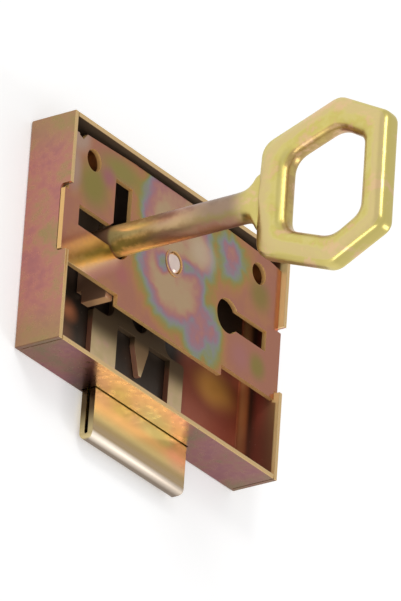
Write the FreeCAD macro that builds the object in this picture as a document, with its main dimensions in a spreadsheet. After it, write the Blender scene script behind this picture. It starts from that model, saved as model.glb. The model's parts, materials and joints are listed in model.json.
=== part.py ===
import FreeCAD, Part
import math
import os
import Sketcher

# Cabinet lock: a folded sheet case, a recessed cover plate with two keyholes,
# a folded sheet bolt, its pillar and detent spring, and the key in the left keyhole.
#
# Frame: the lock lies on its back. X is the width, +Y points away from the bolt,
# +Z comes out of the cover plate, where the key stands. The origin is the centre
# of the back plate's outer face. The bolt is thrown and the key's bit points to -Y.

SIZES = [
    # case
    ("key_x", 17.8, "keyholes' axes from the centre line"),
    ("key_side", 17.2, "keyholes' axes from the case's sides"),
    ("key_top", 19.5, "keyholes' axes from the case's top"),
    ("key_low", 27.5, "keyholes' axes from the case's bottom, where the bolt comes out"),
    ("case_depth", 10.5, "outside, along Z"),
    ("case_sheet", 0.9, "sheet of the case"),
    ("case_bend", 0.6, "outside radius of the folds round the back"),
    ("seam_gap", 0.16, "open seam between two folded walls"),
    # cover plate
    ("cover_sheet", 1.0, "sheet of the cover plate"),
    ("cover_recess", 1.2, "front of the cover plate below the walls' edges"),
    ("cover_side_gap", 0.15, "cover plate to side wall"),
    ("cover_top_gap", 0.9, "top edge to the top wall"),
    ("cover_drop", 12.8, "middle of the bottom edge below the keyholes' axes"),
    ("cover_step", 2.1, "rise of the bottom edge at both sides"),
    ("cover_drop_side", 1.95, "lower middle part beyond the bolt's slot, at each side"),
    ("ear_drop", 1.3, "upper corners below the top edge"),
    ("ear_width", 2.2, "ear at the upper left corner"),
    ("dip_width", 1.2, "dip beside the ear"),
    ("dip_depth", 2.1, "dip below the top edge"),
    ("dip_rise", 0.4, "dip's bottom rises towards the ear"),
    ("shoulder_width", 1.2, "slope between the dip and the shoulder"),
    ("shoulder_drop", 0.6, "shoulder below the top edge"),
    ("jog_side", 20.6, "small step in the top edge, from the plate's side"),
    ("jog_rise", 0.1, "height of that step"),
    ("tab_up", 3.7, "upper end of a side tab above the keyholes' axes"),
    ("tab_down", 8.9, "lower end of a side tab below the keyholes' axes"),
    ("notch_top_gap", 0.9, "wall notch above the tab"),
    ("notch_low_gap", 0.35, "wall notch below the tab"),
    ("notch_floor_gap", 0.1, "wall notch behind the tab"),
    ("notch_corner", 0.7, "corner radius of a wall notch"),
    # screw holes
    ("screw_side", 8.2, "screw holes from the case's sides"),
    ("screw_top", 6.65, "screw holes from the case's top"),
    ("screw_hole", 4.4, "diameter for the screw"),
    ("tube_wall", 1.0, "wall of a spacer tube"),
    ("tube_neck_wall", 0.6, "wall of its swaged neck"),
    # keyholes
    ("keyhole_round", 7.0, "diameter of the round part"),
    ("slot_side", 12.5, "keyhole slot along X, from the key's axis"),
    ("slot_up", 12.2, "keyhole slot along Y, from the key's axis"),
    ("slot_side_width", 4.2, "width of the slots along X"),
    ("slot_up_width", 5.2, "width of the slot along Y"),
    ("slot_up_shift", 0.7, "slot along Y, to the inside of the key's axis"),
    # pillar
    ("pillar_up", 3.3, "pillar above the keyholes' axes"),
    ("pillar_dia", 4.8, "pillar between the plates"),
    ("pillar_tenon", 4.0, "its riveted ends"),
    ("pillar_hole_gap", 0.2, "cover hole round the tenon, radius"),
    ("pillar_rim", 0.55, "width of the raised rim in the cover"),
    ("pillar_rim_height", 0.25, "height of that rim"),
    ("tenon_over", 0.15, "riveted end above the cover plate"),
    ("tenon_bevel", 0.3, "bevel of the riveted end, along the pillar"),
    ("tenon_bevel_in", 0.5, "bevel of the riveted end, across the pillar"),
    # key
    ("shaft_dia", 6.0, "shaft"),
    ("pilot_dia", 4.2, "pilot end in the back plate"),
    ("pilot_gap", 0.05, "running clearance of the pilot, radius"),
    ("pilot_rise", 0.15, "pilot end above the back plate's outer face"),
    ("shaft_end", 40.6, "shaft ends in the bow"),
    ("bit_reach", 11.7, "bit, from the key's axis"),
    ("bit_step_reach", 9.2, "lower step of the bit, from the key's axis"),
    ("bit_thick", 2.2, "thickness of the bit"),
    ("bit_gap", 0.2, "bit under the cover plate"),
    ("bow_thick", 5.0, "bow"),
    ("bow_near", 1.8, "near corners of the bow beyond the shaft's end"),
    ("bow_wide", 16.8, "widest corners beyond the near ones"),
    ("bow_far", 11.6, "far corners beyond the widest ones"),
    ("bow_near_half", 11.3, "near corners from the axis"),
    ("bow_wide_half", 17.6, "widest corners from the axis"),
    ("bow_far_half", 11.6, "far corners from the axis"),
    ("bow_band_side", 6.3, "band of the bow at its sides"),
    ("bow_band_far", 5.6, "band at the far end"),
    ("bow_band_near", 6.1, "band towards the shaft"),
    ("bow_band_corner", 3.8, "band at the near and far corners, across the key"),
    ("bow_corner", 2.6, "corner radius outside"),
    ("bow_hole_corner", 2.0, "corner radius of the finger hole"),
    ("bow_bevel", 1.3, "bevel along the bow's edges"),
    ("bow_neck", 0.1, "bow's foot wider than the shaft, at each side"),
    ("bow_neck_round", 2.6, "hollow between the foot and the near side, radius"),
    ("bow_near_slope", 0.6, "near side rises to its corners"),
    ("bow_neck_thin", 0.3, "neck thinner than the bow, at each side"),
    ("bit_step_gap", 0.2, "bit over the bolt's tail and over the back plate"),
    # bolt
    ("bolt_width", 29.2, "bolt head"),
    ("bolt_sheet", 1.2, "sheet of the bolt"),
    ("bolt_slit", 0.7, "slit between the folded layers"),
    ("bolt_throw", 10.4, "bolt head out of the case"),
    ("bolt_travel", 10.0, "way from thrown to drawn back"),
    ("bolt_float", 0.05, "bolt above the back plate"),
    ("bolt_side_gap", 0.25, "bolt to the wall slot, at each side"),
    ("bolt_front_gap", 0.2, "bolt to the wall slot, in front"),
    ("bolt_leaf", 4.9, "front layer's inner end, from the case's bottom"),
    ("bolt_nose_corner", 1.0, "corner radius of the nose seen from the front"),
    ("tail_up", 8.2, "top edge of the tail above the keyholes' axes"),
    ("tail_step", 1.4, "tail's head narrower than the bolt head, at each side"),
    ("tail_corner", 0.8, "bevelled corners of the tail"),
    ("window_left", 6.7, "window in the tail, left edge from the centre line"),
    ("window_right", 10.1, "window, right edge"),
    ("window_down", 11.0, "window, top edge below the keyholes' axes"),
    ("window_rise", 4.1, "window, lower edge from the case's bottom"),
    ("tongue_left", 1.2, "tongue's root, left edge from the centre line"),
    ("tongue_right", 3.3, "tongue's root, right edge"),
    ("tongue_length", 7.3, "tongue, from the window's top edge"),
    ("tongue_tip", 0.8, "width of the tongue's tip"),
    ("tongue_root", 1.6, "straight part of the tongue"),
    ("pillar_slot_gap", 0.2, "pillar in the tail's long slot, at each side"),
    ("talon_high", 11.0, "talon cut-out along Y"),
    ("talon_corner", 2.4, "inner corners of the talon cut-out"),
    ("talon_gap", 0.35, "talon cut-out beyond the bit's step"),
    ("detent_width", 1.9, "detent groove along Y"),
    ("detent_depth", 0.6, "detent groove"),
    ("cut_over", 1.0, "cuts run past the edge by this much"),
    # detent spring
    ("spring_sheet", 0.4, "spring strip"),
    ("spring_width", 11.0, "spring strip"),
    ("spring_foot", 3.6, "upper end of the spring's foot beyond the pillar's axis"),
    ("spring_back", 4.7, "start of the spring's hairpin bend before the pillar's axis"),
    ("spring_bend_r", 0.9, "middle radius of that bend"),
    ("spring_nose_gap", 0.8, "nose past the tail's top edge"),
    ("spring_nose_half", 0.75, "half the width of the nose"),
    ("spring_nose_rise", 0.6, "nose above the back plate"),
    ("spring_tip", 1.3, "turned-up tip of the spring"),
    ("spring_arm_gap", 0.25, "end of the spring's arm over the tail"),
    ("spring_slot_gap", 0.6, "fork of the spring round the pillar, radius"),
    ("spring_hole_gap", 0.05, "spring's hole round the tenon, radius"),
]


class Size:
    """A length with its value and the expression that binds it to the sheet."""

    def __init__(self, text, value):
        self.text = text
        self.value = float(value)

    @staticmethod
    def of(other):
        return other if isinstance(other, Size) else Size(repr(float(other)), other)

    def __add__(self, other):
        other = Size.of(other)
        return Size(f"({self.text} + {other.text})", self.value + other.value)

    def __sub__(self, other):
        other = Size.of(other)
        return Size(f"({self.text} - {other.text})", self.value - other.value)

    def __mul__(self, factor):
        return Size(f"({self.text} * {factor})", self.value * factor)

    def __truediv__(self, divisor):
        return Size(f"({self.text} / {divisor})", self.value / divisor)

    def __neg__(self):
        return Size(f"(0 - {self.text})", -self.value)


ZERO = Size("0", 0.0)

doc = FreeCAD.newDocument("cabinet_lock")
sheet = doc.addObject("Spreadsheet::Sheet", "Sizes")
size = {}
for row, (alias, value, note) in enumerate(SIZES, start=1):
    sheet.set(f"A{row}", alias)
    sheet.set(f"B{row}", str(value))
    sheet.set(f"C{row}", note)
    sheet.setAlias(f"B{row}", alias)
    size[alias] = Size(f"Sizes.{alias}", value)
doc.recompute()


def bind(obj, prop, length):
    obj.setExpression(prop, length.text)


def plane(body, role):
    """The body's own origin plane with this role."""
    for feature in body.Origin.OriginFeatures:
        if feature.Role == role:
            return feature
    raise ValueError(role)


def new_body(name, x=None, y=None, z=None):
    body = doc.addObject("PartDesign::Body", name)
    body.Label = name
    for axis, length in (("x", x), ("y", y), ("z", z)):
        if length is not None:
            body.setExpression(f".Placement.Base.{axis}", length.text)
    return body


def new_sketch(body, name, role, height=None):
    """A sketch on one of the body's origin planes, raised along its normal."""
    sketch = body.newObject("Sketcher::SketchObject", name)
    sketch.AttachmentSupport = [(plane(body, role), "")]
    sketch.MapMode = "FlatFace"
    if height is not None:
        sketch.setExpression(".AttachmentOffset.Base.z", height.text)
    return sketch


def pin_point(sketch, index, end, x, y):
    """Bind one point of the sketch's geometry to its two lengths."""
    for kind, length in (("DistanceX", x), ("DistanceY", y)):
        number = sketch.addConstraint(
            Sketcher.Constraint(kind, -1, 1, index, end, length.value)
        )
        sketch.setExpression(f"Constraints[{number}]", length.text)


def add_outline(sketch, corners):
    """A closed outline. Each corner is (x, y), or (x, y, radius, side) where the
    edge to the next corner is an arc that bulges to that side, +1 being right."""
    first = sketch.GeometryCount
    count = len(corners)
    for i, corner in enumerate(corners):
        following = corners[(i + 1) % count]
        a = FreeCAD.Vector(corner[0].value, corner[1].value, 0)
        b = FreeCAD.Vector(following[0].value, following[1].value, 0)
        if len(corner) == 2:
            sketch.addGeometry(Part.LineSegment(a, b), False)
            continue
        radius = corner[2].value
        side = corner[3]
        along = (b - a).normalize()
        right = FreeCAD.Vector(along.y, -along.x, 0)
        half = (b - a).Length / 2
        rise = radius - math.sqrt(max(radius * radius - half * half, 0.0))
        middle = (a + b) * 0.5 + right * (side * rise)
        sketch.addGeometry(Part.Arc(a, middle, b), False)
    for i, corner in enumerate(corners):
        index = first + i
        following = first + (i + 1) % count
        # an arc runs anticlockwise in the sketch, so its start may be the outline's end
        ends = []
        for number in (index, following):
            is_arc = len(corners[number - first]) == 4
            turned = is_arc and corners[number - first][3] < 0
            ends.append((2, 1) if turned else (1, 2))
        sketch.addConstraint(
            Sketcher.Constraint("Coincident", index, ends[0][1], following, ends[1][0])
        )
        pin_point(sketch, index, ends[0][0], corner[0], corner[1])
        if len(corner) == 4:
            number = sketch.addConstraint(
                Sketcher.Constraint("Radius", index, corner[2].value)
            )
            sketch.setExpression(f"Constraints[{number}]", corner[2].text)
    return first


def add_circle(sketch, x, y, diameter):
    centre = FreeCAD.Vector(x.value, y.value, 0)
    index = sketch.addGeometry(
        Part.Circle(centre, FreeCAD.Vector(0, 0, 1), diameter.value / 2), False
    )
    pin_point(sketch, index, 3, x, y)
    number = sketch.addConstraint(
        Sketcher.Constraint("Diameter", index, diameter.value)
    )
    sketch.setExpression(f"Constraints[{number}]", diameter.text)
    return index


def box_corners(x0, y0, x1, y1):
    return [(x0, y0), (x1, y0), (x1, y1), (x0, y1)]


def pad(body, sketch, name, length, middle=False, turned=False):
    feature = body.newObject("PartDesign::Pad", name)
    feature.Profile = sketch
    feature.Length = length.value
    bind(feature, "Length", length)
    if middle:
        feature.Midplane = True
    feature.Reversed = turned
    doc.recompute()
    return feature


def pocket(body, sketch, name, length, middle=False, turned=False):
    """Cut the sketch into the body, and see that it took material away."""
    before = body.Shape.Volume
    feature = body.newObject("PartDesign::Pocket", name)
    feature.Profile = sketch
    feature.Length = length.value
    bind(feature, "Length", length)
    if middle:
        feature.Midplane = True
    feature.Reversed = turned
    doc.recompute()
    if body.Shape.Volume > before - 1e-6:
        raise RuntimeError(f"{name} takes nothing away")
    return feature


def edges_where(shape, test):
    """The names of the shape's edges whose points all pass the test."""
    names = []
    for number, edge in enumerate(shape.Edges, start=1):
        points = [edge.valueAt(edge.FirstParameter), edge.valueAt(edge.LastParameter)]
        middle = (edge.FirstParameter + edge.LastParameter) / 2
        points.append(edge.valueAt(middle))
        if all(test(point) for point in points):
            names.append(f"Edge{number}")
    return names


def round_edges(body, base, name, length, test, kind="PartDesign::Fillet"):
    names = edges_where(base.Shape, test)
    if not names:
        raise RuntimeError(f"{name} finds no edge")
    feature = body.newObject(kind, name)
    feature.Base = (base, names)
    prop = "Radius" if kind.endswith("Fillet") else "Size"
    setattr(feature, prop, length.value)
    bind(feature, prop, length)
    doc.recompute()
    return feature


def near(a, b, slack=1e-4):
    return abs(a - b) < slack


# Levels that more than one piece shares
half_width = size["key_x"] + size["key_side"]
half_height = (size["key_top"] + size["key_low"]) / 2
key_y = half_height - size["key_top"]
inner_x = half_width - size["case_sheet"]
inner_y = half_height - size["case_sheet"]
cover_front = size["case_depth"] - size["cover_recess"]
cover_back = cover_front - size["cover_sheet"]
bolt_back = size["case_sheet"] + size["bolt_float"]
tail_front = bolt_back + size["bolt_sheet"]
leaf_back = tail_front + size["bolt_slit"]
leaf_front = leaf_back + size["bolt_sheet"]
bolt_half = size["bolt_width"] / 2
bolt_nose = half_height + size["bolt_throw"]
tail_half = bolt_half - size["tail_step"]
screw_x = half_width - size["screw_side"]
screw_y = half_height - size["screw_top"]
pillar_y = key_y + size["pillar_up"]
tail_top = key_y + size["tail_up"]
tab_top = key_y + size["tab_up"]
tab_low = key_y - size["tab_down"]
cover_top = inner_y - size["cover_top_gap"]
cover_low = key_y - size["cover_drop"]
window_top = key_y - size["window_down"]
window_low = size["window_rise"] - half_height
tongue_tip_y = window_top - size["tongue_length"]
fold_outer = size["bolt_sheet"] + size["bolt_slit"] / 2
fold_inner = size["bolt_slit"] / 2
tube_outer = size["screw_hole"] + size["tube_wall"] * 2
tube_neck = size["screw_hole"] + size["tube_neck_wall"] * 2
pilot_bore = size["pilot_dia"] + size["pilot_gap"] * 2
keyhole_half_side = size["slot_side_width"] / 2
pillar_slot = size["pillar_dia"] + size["pillar_slot_gap"] * 2

# Case: a tray folded from one sheet, its four corner seams left open
case = new_body("case")
blank = new_sketch(case, "case_blank", "XY_Plane")
add_outline(blank, box_corners(-half_width, -half_height, half_width, half_height))
tray = pad(case, blank, "case_pad", size["case_depth"])
folds = round_edges(
    case, tray, "case_folds", size["case_bend"], lambda p: near(p.z, 0.0)
)
hollow = new_sketch(case, "case_hollow", "XY_Plane", size["case_depth"])
add_outline(hollow, box_corners(-inner_x, -inner_y, inner_x, inner_y))
pocket(case, hollow, "case_inside", size["case_depth"] - size["case_sheet"])

seam_floor = size["case_bend"] + size["case_sheet"] / 2
seams = new_sketch(case, "case_seams", "XY_Plane", size["case_depth"])
for side_x in (-1, 1):
    for side_y in (-1, 1):
        a = (inner_x - size["seam_gap"]) * side_x
        b = inner_x * side_x
        c = (inner_y - size["seam_gap"]) * side_y
        d = (half_height + size["seam_gap"]) * side_y
        if side_x > 0:
            x0, x1 = a, b
        else:
            x0, x1 = b, a
        if side_y > 0:
            y0, y1 = c, d
        else:
            y0, y1 = d, c
        add_outline(seams, box_corners(x0, y0, x1, y1))
pocket(case, seams, "case_seam_cuts", size["case_depth"] - seam_floor)

# slot for the bolt in the bottom wall
slot_half = bolt_half + size["bolt_side_gap"]
slot_front = leaf_front + size["bolt_front_gap"]
bolt_slot = new_sketch(case, "case_bolt_slot", "XZ_Plane", half_height)
add_outline(bolt_slot, box_corners(-slot_half, size["case_sheet"], slot_half, slot_front))
pocket(case, bolt_slot, "case_bolt_slot_cut", size["case_sheet"] * 2, middle=True)

# notches for the cover plate's tabs in the side walls
notch_low = tab_low - size["notch_low_gap"]
notch_high = tab_top + size["notch_top_gap"]
notch_floor = cover_back - size["notch_floor_gap"]
notch_r = size["notch_corner"]
notch_open = size["case_depth"] + size["case_sheet"]
notches = new_sketch(case, "case_notches", "YZ_Plane")
add_outline(
    notches,
    [
        (notch_low, notch_open),
        (notch_low, notch_floor + notch_r, notch_r, 1),
        (notch_low + notch_r, notch_floor),
        (notch_high - notch_r, notch_floor, notch_r, 1),
        (notch_high, notch_floor + notch_r),
        (notch_high, notch_open),
    ],
)
pocket(case, notches, "case_notch_cuts", (half_width + size["cut_over"]) * 2, middle=True)

# bores in the back plate: two for the key's pilot, two for the tubes, one for the pillar
back_holes = new_sketch(case, "case_back_holes", "XY_Plane", size["case_sheet"] * 2)
for side in (-1, 1):
    add_circle(back_holes, size["key_x"] * side, key_y, pilot_bore)
    add_circle(back_holes, screw_x * side, screw_y, tube_neck)
add_circle(back_holes, ZERO, pillar_y, size["pillar_tenon"])
pocket(case, back_holes, "case_back_bores", size["case_sheet"] * 3)

# Cover plate: flat sheet with side tabs, two keyholes, two screw holes
cover = new_body("cover_plate", z=cover_back)
edge_x = inner_x - size["cover_side_gap"]
cover_side_low = cover_low + size["cover_step"]
cover_drop_half = slot_half + size["cover_drop_side"]
ear_top = cover_top - size["ear_drop"]
ear_x = edge_x - size["ear_width"]
dip_x = ear_x - size["dip_width"]
dip_y = cover_top - size["dip_depth"]
shoulder_x = dip_x - size["shoulder_width"]
shoulder_y = cover_top - size["shoulder_drop"]
jog_x = edge_x - size["jog_side"]
jog_y = cover_top + size["jog_rise"]
plate = new_sketch(cover, "cover_outline", "XY_Plane")
add_outline(
    plate,
    [
        (-edge_x, cover_side_low),
        (-cover_drop_half, cover_side_low),
        (-cover_drop_half, cover_low),
        (cover_drop_half, cover_low),
        (cover_drop_half, cover_side_low),
        (edge_x, cover_side_low),
        (edge_x, tab_low),
        (half_width, tab_low),
        (half_width, tab_top),
        (edge_x, tab_top),
        (edge_x, ear_top),
        (shoulder_x, shoulder_y),
        (jog_x, cover_top),
        (-jog_x, cover_top),
        (-jog_x, jog_y),
        (-shoulder_x, shoulder_y),
        (-dip_x, dip_y),
        (-ear_x, dip_y + size["dip_rise"]),
        (-ear_x, ear_top),
        (-edge_x, ear_top),
        (-edge_x, tab_top),
        (-half_width, tab_top),
        (-half_width, tab_low),
        (-edge_x, tab_low),
    ],
)
pad(cover, plate, "cover_pad", size["cover_sheet"])


def slot_meet(half):
    """Where a slot's side meets the keyhole's round part, from the key's axis."""
    radius = size["keyhole_round"].value / 2
    reach = math.sqrt(radius * radius - half.value * half.value)
    text = f"sqrt(({size['keyhole_round'].text} / 2) ^ 2 - ({half.text}) ^ 2)"
    return Size(text, reach)


# right keyhole: round part and one slot along +X
round_half = size["keyhole_round"] / 2
side_meet = slot_meet(keyhole_half_side)
key_right = size["key_x"]
holes = new_sketch(cover, "cover_keyhole_right", "XY_Plane", size["cover_sheet"])
add_outline(
    holes,
    [
        (key_right + side_meet, key_y + keyhole_half_side, round_half, 1),
        (key_right - round_half, key_y, round_half, 1),
        (key_right + side_meet, key_y - keyhole_half_side),
        (key_right + size["slot_side"], key_y - keyhole_half_side),
        (key_right + size["slot_side"], key_y + keyhole_half_side),
    ],
)
pocket(cover, holes, "cover_keyhole_right_cut", size["cover_sheet"])

# left keyhole: round part, a slot along -X and a slot along +Y
left_axis = -size["key_x"]
up_half = size["slot_up_width"] / 2
up_left = left_axis + size["slot_up_shift"] - up_half
up_right = left_axis + size["slot_up_shift"] + up_half
up_end = key_y + size["slot_up"]
meet_left = slot_meet(up_half - size["slot_up_shift"])
meet_right = slot_meet(up_half + size["slot_up_shift"])
keyhole_left = new_sketch(cover, "cover_keyhole_left", "XY_Plane", size["cover_sheet"])
add_outline(
    keyhole_left,
    [
        (up_left, up_end),
        (up_left, key_y + meet_left, round_half, 1),
        (left_axis - side_meet, key_y + keyhole_half_side),
        (left_axis - size["slot_side"], key_y + keyhole_half_side),
        (left_axis - size["slot_side"], key_y - keyhole_half_side),
        (left_axis - side_meet, key_y - keyhole_half_side, round_half, 1),
        (left_axis, key_y - round_half, round_half, 1),
        (left_axis + round_half, key_y, round_half, 1),
        (up_right, key_y + meet_right),
        (up_right, up_end),
    ],
)
pocket(cover, keyhole_left, "cover_keyhole_left_cut", size["cover_sheet"])

pin_hole = size["pillar_tenon"] + size["pillar_hole_gap"] * 2
cover_rim = new_sketch(cover, "cover_rim", "XY_Plane", size["cover_sheet"] / 2)
add_circle(cover_rim, ZERO, pillar_y, pin_hole + size["pillar_rim"] * 2)
pad(cover, cover_rim, "cover_rim_pad", size["cover_sheet"] / 2 + size["pillar_rim_height"])
round_holes = new_sketch(cover, "cover_round_holes", "XY_Plane", size["cover_sheet"] * 2)
add_circle(round_holes, ZERO, pillar_y, pin_hole)
for side in (-1, 1):
    add_circle(round_holes, screw_x * side, screw_y, size["screw_hole"])
pocket(cover, round_holes, "cover_round_hole_cuts", size["cover_sheet"] * 3)

# Bolt: one sheet folded over at the nose; its rear layer runs on as the tail
bolt = new_body("bolt", z=bolt_back)
tail_low = -(bolt_nose - fold_outer)
leaf_end = size["bolt_leaf"] - half_height
tail = new_sketch(bolt, "bolt_tail", "XY_Plane")
add_outline(
    tail,
    [
        (-bolt_half, tail_low),
        (bolt_half, tail_low),
        (bolt_half, window_top),
        (tail_half, window_top + size["tail_step"]),
        (tail_half, tail_top - size["tail_corner"]),
        (tail_half - size["tail_corner"], tail_top),
        (size["tail_corner"] - tail_half, tail_top),
        (-tail_half, tail_top - size["tail_corner"]),
        (-tail_half, window_top + size["tail_step"]),
        (-bolt_half, window_top),
    ],
)
pad(bolt, tail, "bolt_tail_pad", size["bolt_sheet"])
fold = new_sketch(bolt, "bolt_fold", "YZ_Plane")
layer = size["bolt_sheet"]
full = layer * 2 + size["bolt_slit"]
add_outline(
    fold,
    [
        (tail_low, ZERO),
        (tail_low, layer, fold_inner, -1),
        (tail_low - fold_inner, layer + fold_inner, fold_inner, -1),
        (tail_low, layer + size["bolt_slit"]),
        (leaf_end, layer + size["bolt_slit"]),
        (leaf_end, full),
        (tail_low, full, fold_outer, 1),
        (tail_low - fold_outer, fold_outer, fold_outer, 1),
    ],
)
pad(bolt, fold, "bolt_fold_pad", size["bolt_width"], middle=True)

window = new_sketch(bolt, "bolt_window", "XY_Plane", layer)
tongue_mid = (size["tongue_right"] - size["tongue_left"]) / 2
add_outline(
    window,
    [
        (-size["window_left"], window_low),
        (size["window_right"], window_low),
        (size["window_right"], window_top),
        (size["tongue_right"], window_top),
        (size["tongue_right"], window_top - size["tongue_root"]),
        (tongue_mid + size["tongue_tip"] / 2, tongue_tip_y),
        (tongue_mid - size["tongue_tip"] / 2, tongue_tip_y),
        (-size["tongue_left"], window_top - size["tongue_root"]),
        (-size["tongue_left"], window_top),
        (-size["window_left"], window_top),
    ],
)
pocket(bolt, window, "bolt_window_cut", layer)

# the pillar's long slot, as long as the bolt's way
slot_r = pillar_slot / 2
long_slot = new_sketch(bolt, "bolt_pillar_slot", "XY_Plane", layer)
slot_high = pillar_y + size["pillar_slot_gap"]
slot_low = pillar_y - size["bolt_travel"] - size["pillar_slot_gap"]
add_outline(
    long_slot,
    [
        (slot_r, slot_low),
        (slot_r, slot_high, slot_r, 1),
        (ZERO, slot_high + slot_r, slot_r, 1),
        (-slot_r, slot_high),
        (-slot_r, slot_low, slot_r, 1),
        (ZERO, slot_low - slot_r, slot_r, 1),
    ],
)
pocket(bolt, long_slot, "bolt_pillar_slot_cut", layer)

# open talon cut-outs that the bit's lower step moves in, one for each keyhole
neck_half = size["key_x"] - size["bit_step_reach"] - size["talon_gap"]
talon_y = key_y - size["bolt_travel"] / 2
talon_low = talon_y - size["talon_high"] / 2
talon_top = talon_y + size["talon_high"] / 2
talon_out = bolt_half + size["cut_over"]
talon_r = size["talon_corner"]
talons = new_sketch(bolt, "bolt_talons", "XY_Plane", layer)
for side in (-1, 1):
    add_outline(
        talons,
        [
            (talon_out * side, talon_low),
            (talon_out * side, talon_top),
            ((neck_half + talon_r) * side, talon_top, talon_r, side),
            (neck_half * side, talon_top - talon_r),
            (neck_half * side, talon_low + talon_r, talon_r, side),
            ((neck_half + talon_r) * side, talon_low),
        ],
    )
pocket(bolt, talons, "bolt_talon_cuts", layer)

# groove that the spring's nose drops into when the bolt is drawn back
nose_y = tail_top + size["spring_nose_gap"]
groove_y = nose_y - size["bolt_travel"]
grooves = new_sketch(bolt, "bolt_detent", "XY_Plane", layer)
groove_half = size["detent_width"] / 2
groove_end = neck_half + size["cut_over"]
add_outline(
    grooves,
    box_corners(-groove_end, groove_y - groove_half, groove_end, groove_y + groove_half),
)
pocket(bolt, grooves, "bolt_detent_cut", size["detent_depth"])

# rounded corners of the nose, seen from the front
corner = size["bolt_nose_corner"]
trim = new_sketch(bolt, "bolt_nose_trim", "XY_Plane", full)
trim_end = -bolt_nose - size["cut_over"]
for side in (-1, 1):
    outer = (bolt_half + size["cut_over"]) * side
    add_outline(
        trim,
        [
            (outer, trim_end),
            (outer, -bolt_nose + corner),
            (bolt_half * side, -bolt_nose + corner, corner, -side),
            ((bolt_half - corner) * side, -bolt_nose),
            ((bolt_half - corner) * side, trim_end),
        ],
    )
pocket(bolt, trim, "bolt_nose_corners", full)

# Pillar: holds the plates apart and guides the bolt's tail
pillar = new_body("pillar", y=pillar_y)
pillar_core = new_sketch(pillar, "pillar_section", "XZ_Plane")
spring_back = cover_back - size["spring_sheet"]
tenon_half = size["pillar_tenon"] / 2
tenon_top = cover_front + size["tenon_over"]
add_outline(
    pillar_core,
    [
        (ZERO, ZERO),
        (tenon_half, ZERO),
        (tenon_half, size["case_sheet"]),
        (size["pillar_dia"] / 2, size["case_sheet"]),
        (size["pillar_dia"] / 2, spring_back),
        (tenon_half, spring_back),
        (tenon_half, tenon_top - size["tenon_bevel"]),
        (tenon_half - size["tenon_bevel_in"], tenon_top),
        (ZERO, tenon_top),
    ],
)


def revolve(body, sketch, name):
    feature = body.newObject("PartDesign::Revolution", name)
    feature.Profile = sketch
    feature.ReferenceAxis = (sketch, ["V_Axis"])
    feature.Angle = 360.0
    doc.recompute()
    return feature


revolve(pillar, pillar_core, "pillar_turned")

# Spacer tubes for the two screws, each swaged into the back plate
for side, label in ((-1, "screw_tube_left"), (1, "screw_tube_right")):
    tube = new_body(label, x=screw_x * side, y=screw_y)
    section = new_sketch(tube, label + "_section", "XZ_Plane")
    add_outline(
        section,
        [
            (size["screw_hole"] / 2, ZERO),
            (tube_neck / 2, ZERO),
            (tube_neck / 2, size["case_sheet"]),
            (tube_outer / 2, size["case_sheet"]),
            (tube_outer / 2, cover_back),
            (size["screw_hole"] / 2, cover_back),
        ],
    )
    revolve(tube, section, label + "_turned")

# Detent spring: a strip bent back like a hairpin and forked round the pillar
spring = new_body("detent_spring")
strip = size["spring_sheet"]
half_strip = strip / 2
bend = size["spring_bend_r"]
bend_y = pillar_y - size["spring_back"]
foot_y = pillar_y + size["spring_foot"]
bend_out = bend + half_strip
bend_in = bend - half_strip
foot_top = cover_back
foot_low = spring_back
arm_top = foot_top - bend_out * 2 + strip
arm_low = foot_top - bend_out * 2
nose_low = size["case_sheet"] + size["spring_nose_rise"]
nose_start = nose_y - size["spring_nose_half"]
nose_end = nose_y + size["spring_nose_half"]
arm_end_z = tail_front + size["spring_arm_gap"]
side_view = new_sketch(spring, "spring_side", "YZ_Plane")
add_outline(
    side_view,
    [
        (foot_y, foot_low),
        (foot_y, foot_top),
        (bend_y, foot_top, bend_out, 1),
        (bend_y - bend_out, foot_top - bend_out, bend_out, 1),
        (bend_y, arm_low),
        (nose_start, arm_end_z),
        (nose_y - strip / 2, nose_low),
        (nose_y + strip / 2, nose_low),
        (nose_end + size["spring_tip"], arm_end_z + size["spring_tip"]),
        (nose_end + size["spring_tip"] - strip / 2, arm_end_z + size["spring_tip"] + strip),
        (nose_y, nose_low + strip * 1.6),
        (nose_start + strip / 4, arm_end_z + strip * 1.1),
        (bend_y, arm_top, bend_in, -1),
        (bend_y - bend_in, foot_top - bend_out, bend_in, -1),
        (bend_y, foot_low),
    ],
)
pad(spring, side_view, "spring_pad", size["spring_width"], middle=True)
fork_half = size["pillar_dia"] / 2 + size["spring_slot_gap"]
fork = new_sketch(spring, "spring_fork", "XY_Plane", foot_low - 0.01)
add_outline(
    fork,
    box_corners(
        -fork_half,
        bend_y,
        fork_half,
        nose_end + size["spring_tip"] * 2,
    ),
)
pocket(spring, fork, "spring_fork_cut", foot_low - size["case_sheet"] / 2)
foot_hole = new_sketch(spring, "spring_hole", "XY_Plane", cover_front)
spring_hole = size["pillar_tenon"] + size["spring_hole_gap"] * 2
add_circle(foot_hole, ZERO, pillar_y, spring_hole)
pocket(spring, foot_hole, "spring_hole_cut", cover_front - spring_back + size["spring_sheet"] / 2)

# Key: a bevelled six-sided bow, a turned shaft with a pilot end and a stepped bit
key = new_body("key", x=-size["key_x"], y=key_y)
neck_half_key = size["shaft_dia"] / 2 + size["bow_neck"]
near_z = size["shaft_end"] + size["bow_near"]
neck_round = size["bow_neck_round"]
neck_top = near_z - size["bow_near_slope"]
neck_base = neck_top - neck_round
wide_z = near_z + size["bow_wide"]
far_z = wide_z + size["bow_far"]
outer_corners = [
    (size["bow_near_half"], near_z),
    (size["bow_wide_half"], wide_z),
    (size["bow_far_half"], far_z),
]
hole_corners = [
    (size["bow_near_half"] - size["bow_band_corner"], near_z + size["bow_band_near"]),
    (size["bow_wide_half"] - size["bow_band_side"], wide_z),
    (size["bow_far_half"] - size["bow_band_corner"], far_z - size["bow_band_far"]),
]


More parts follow.
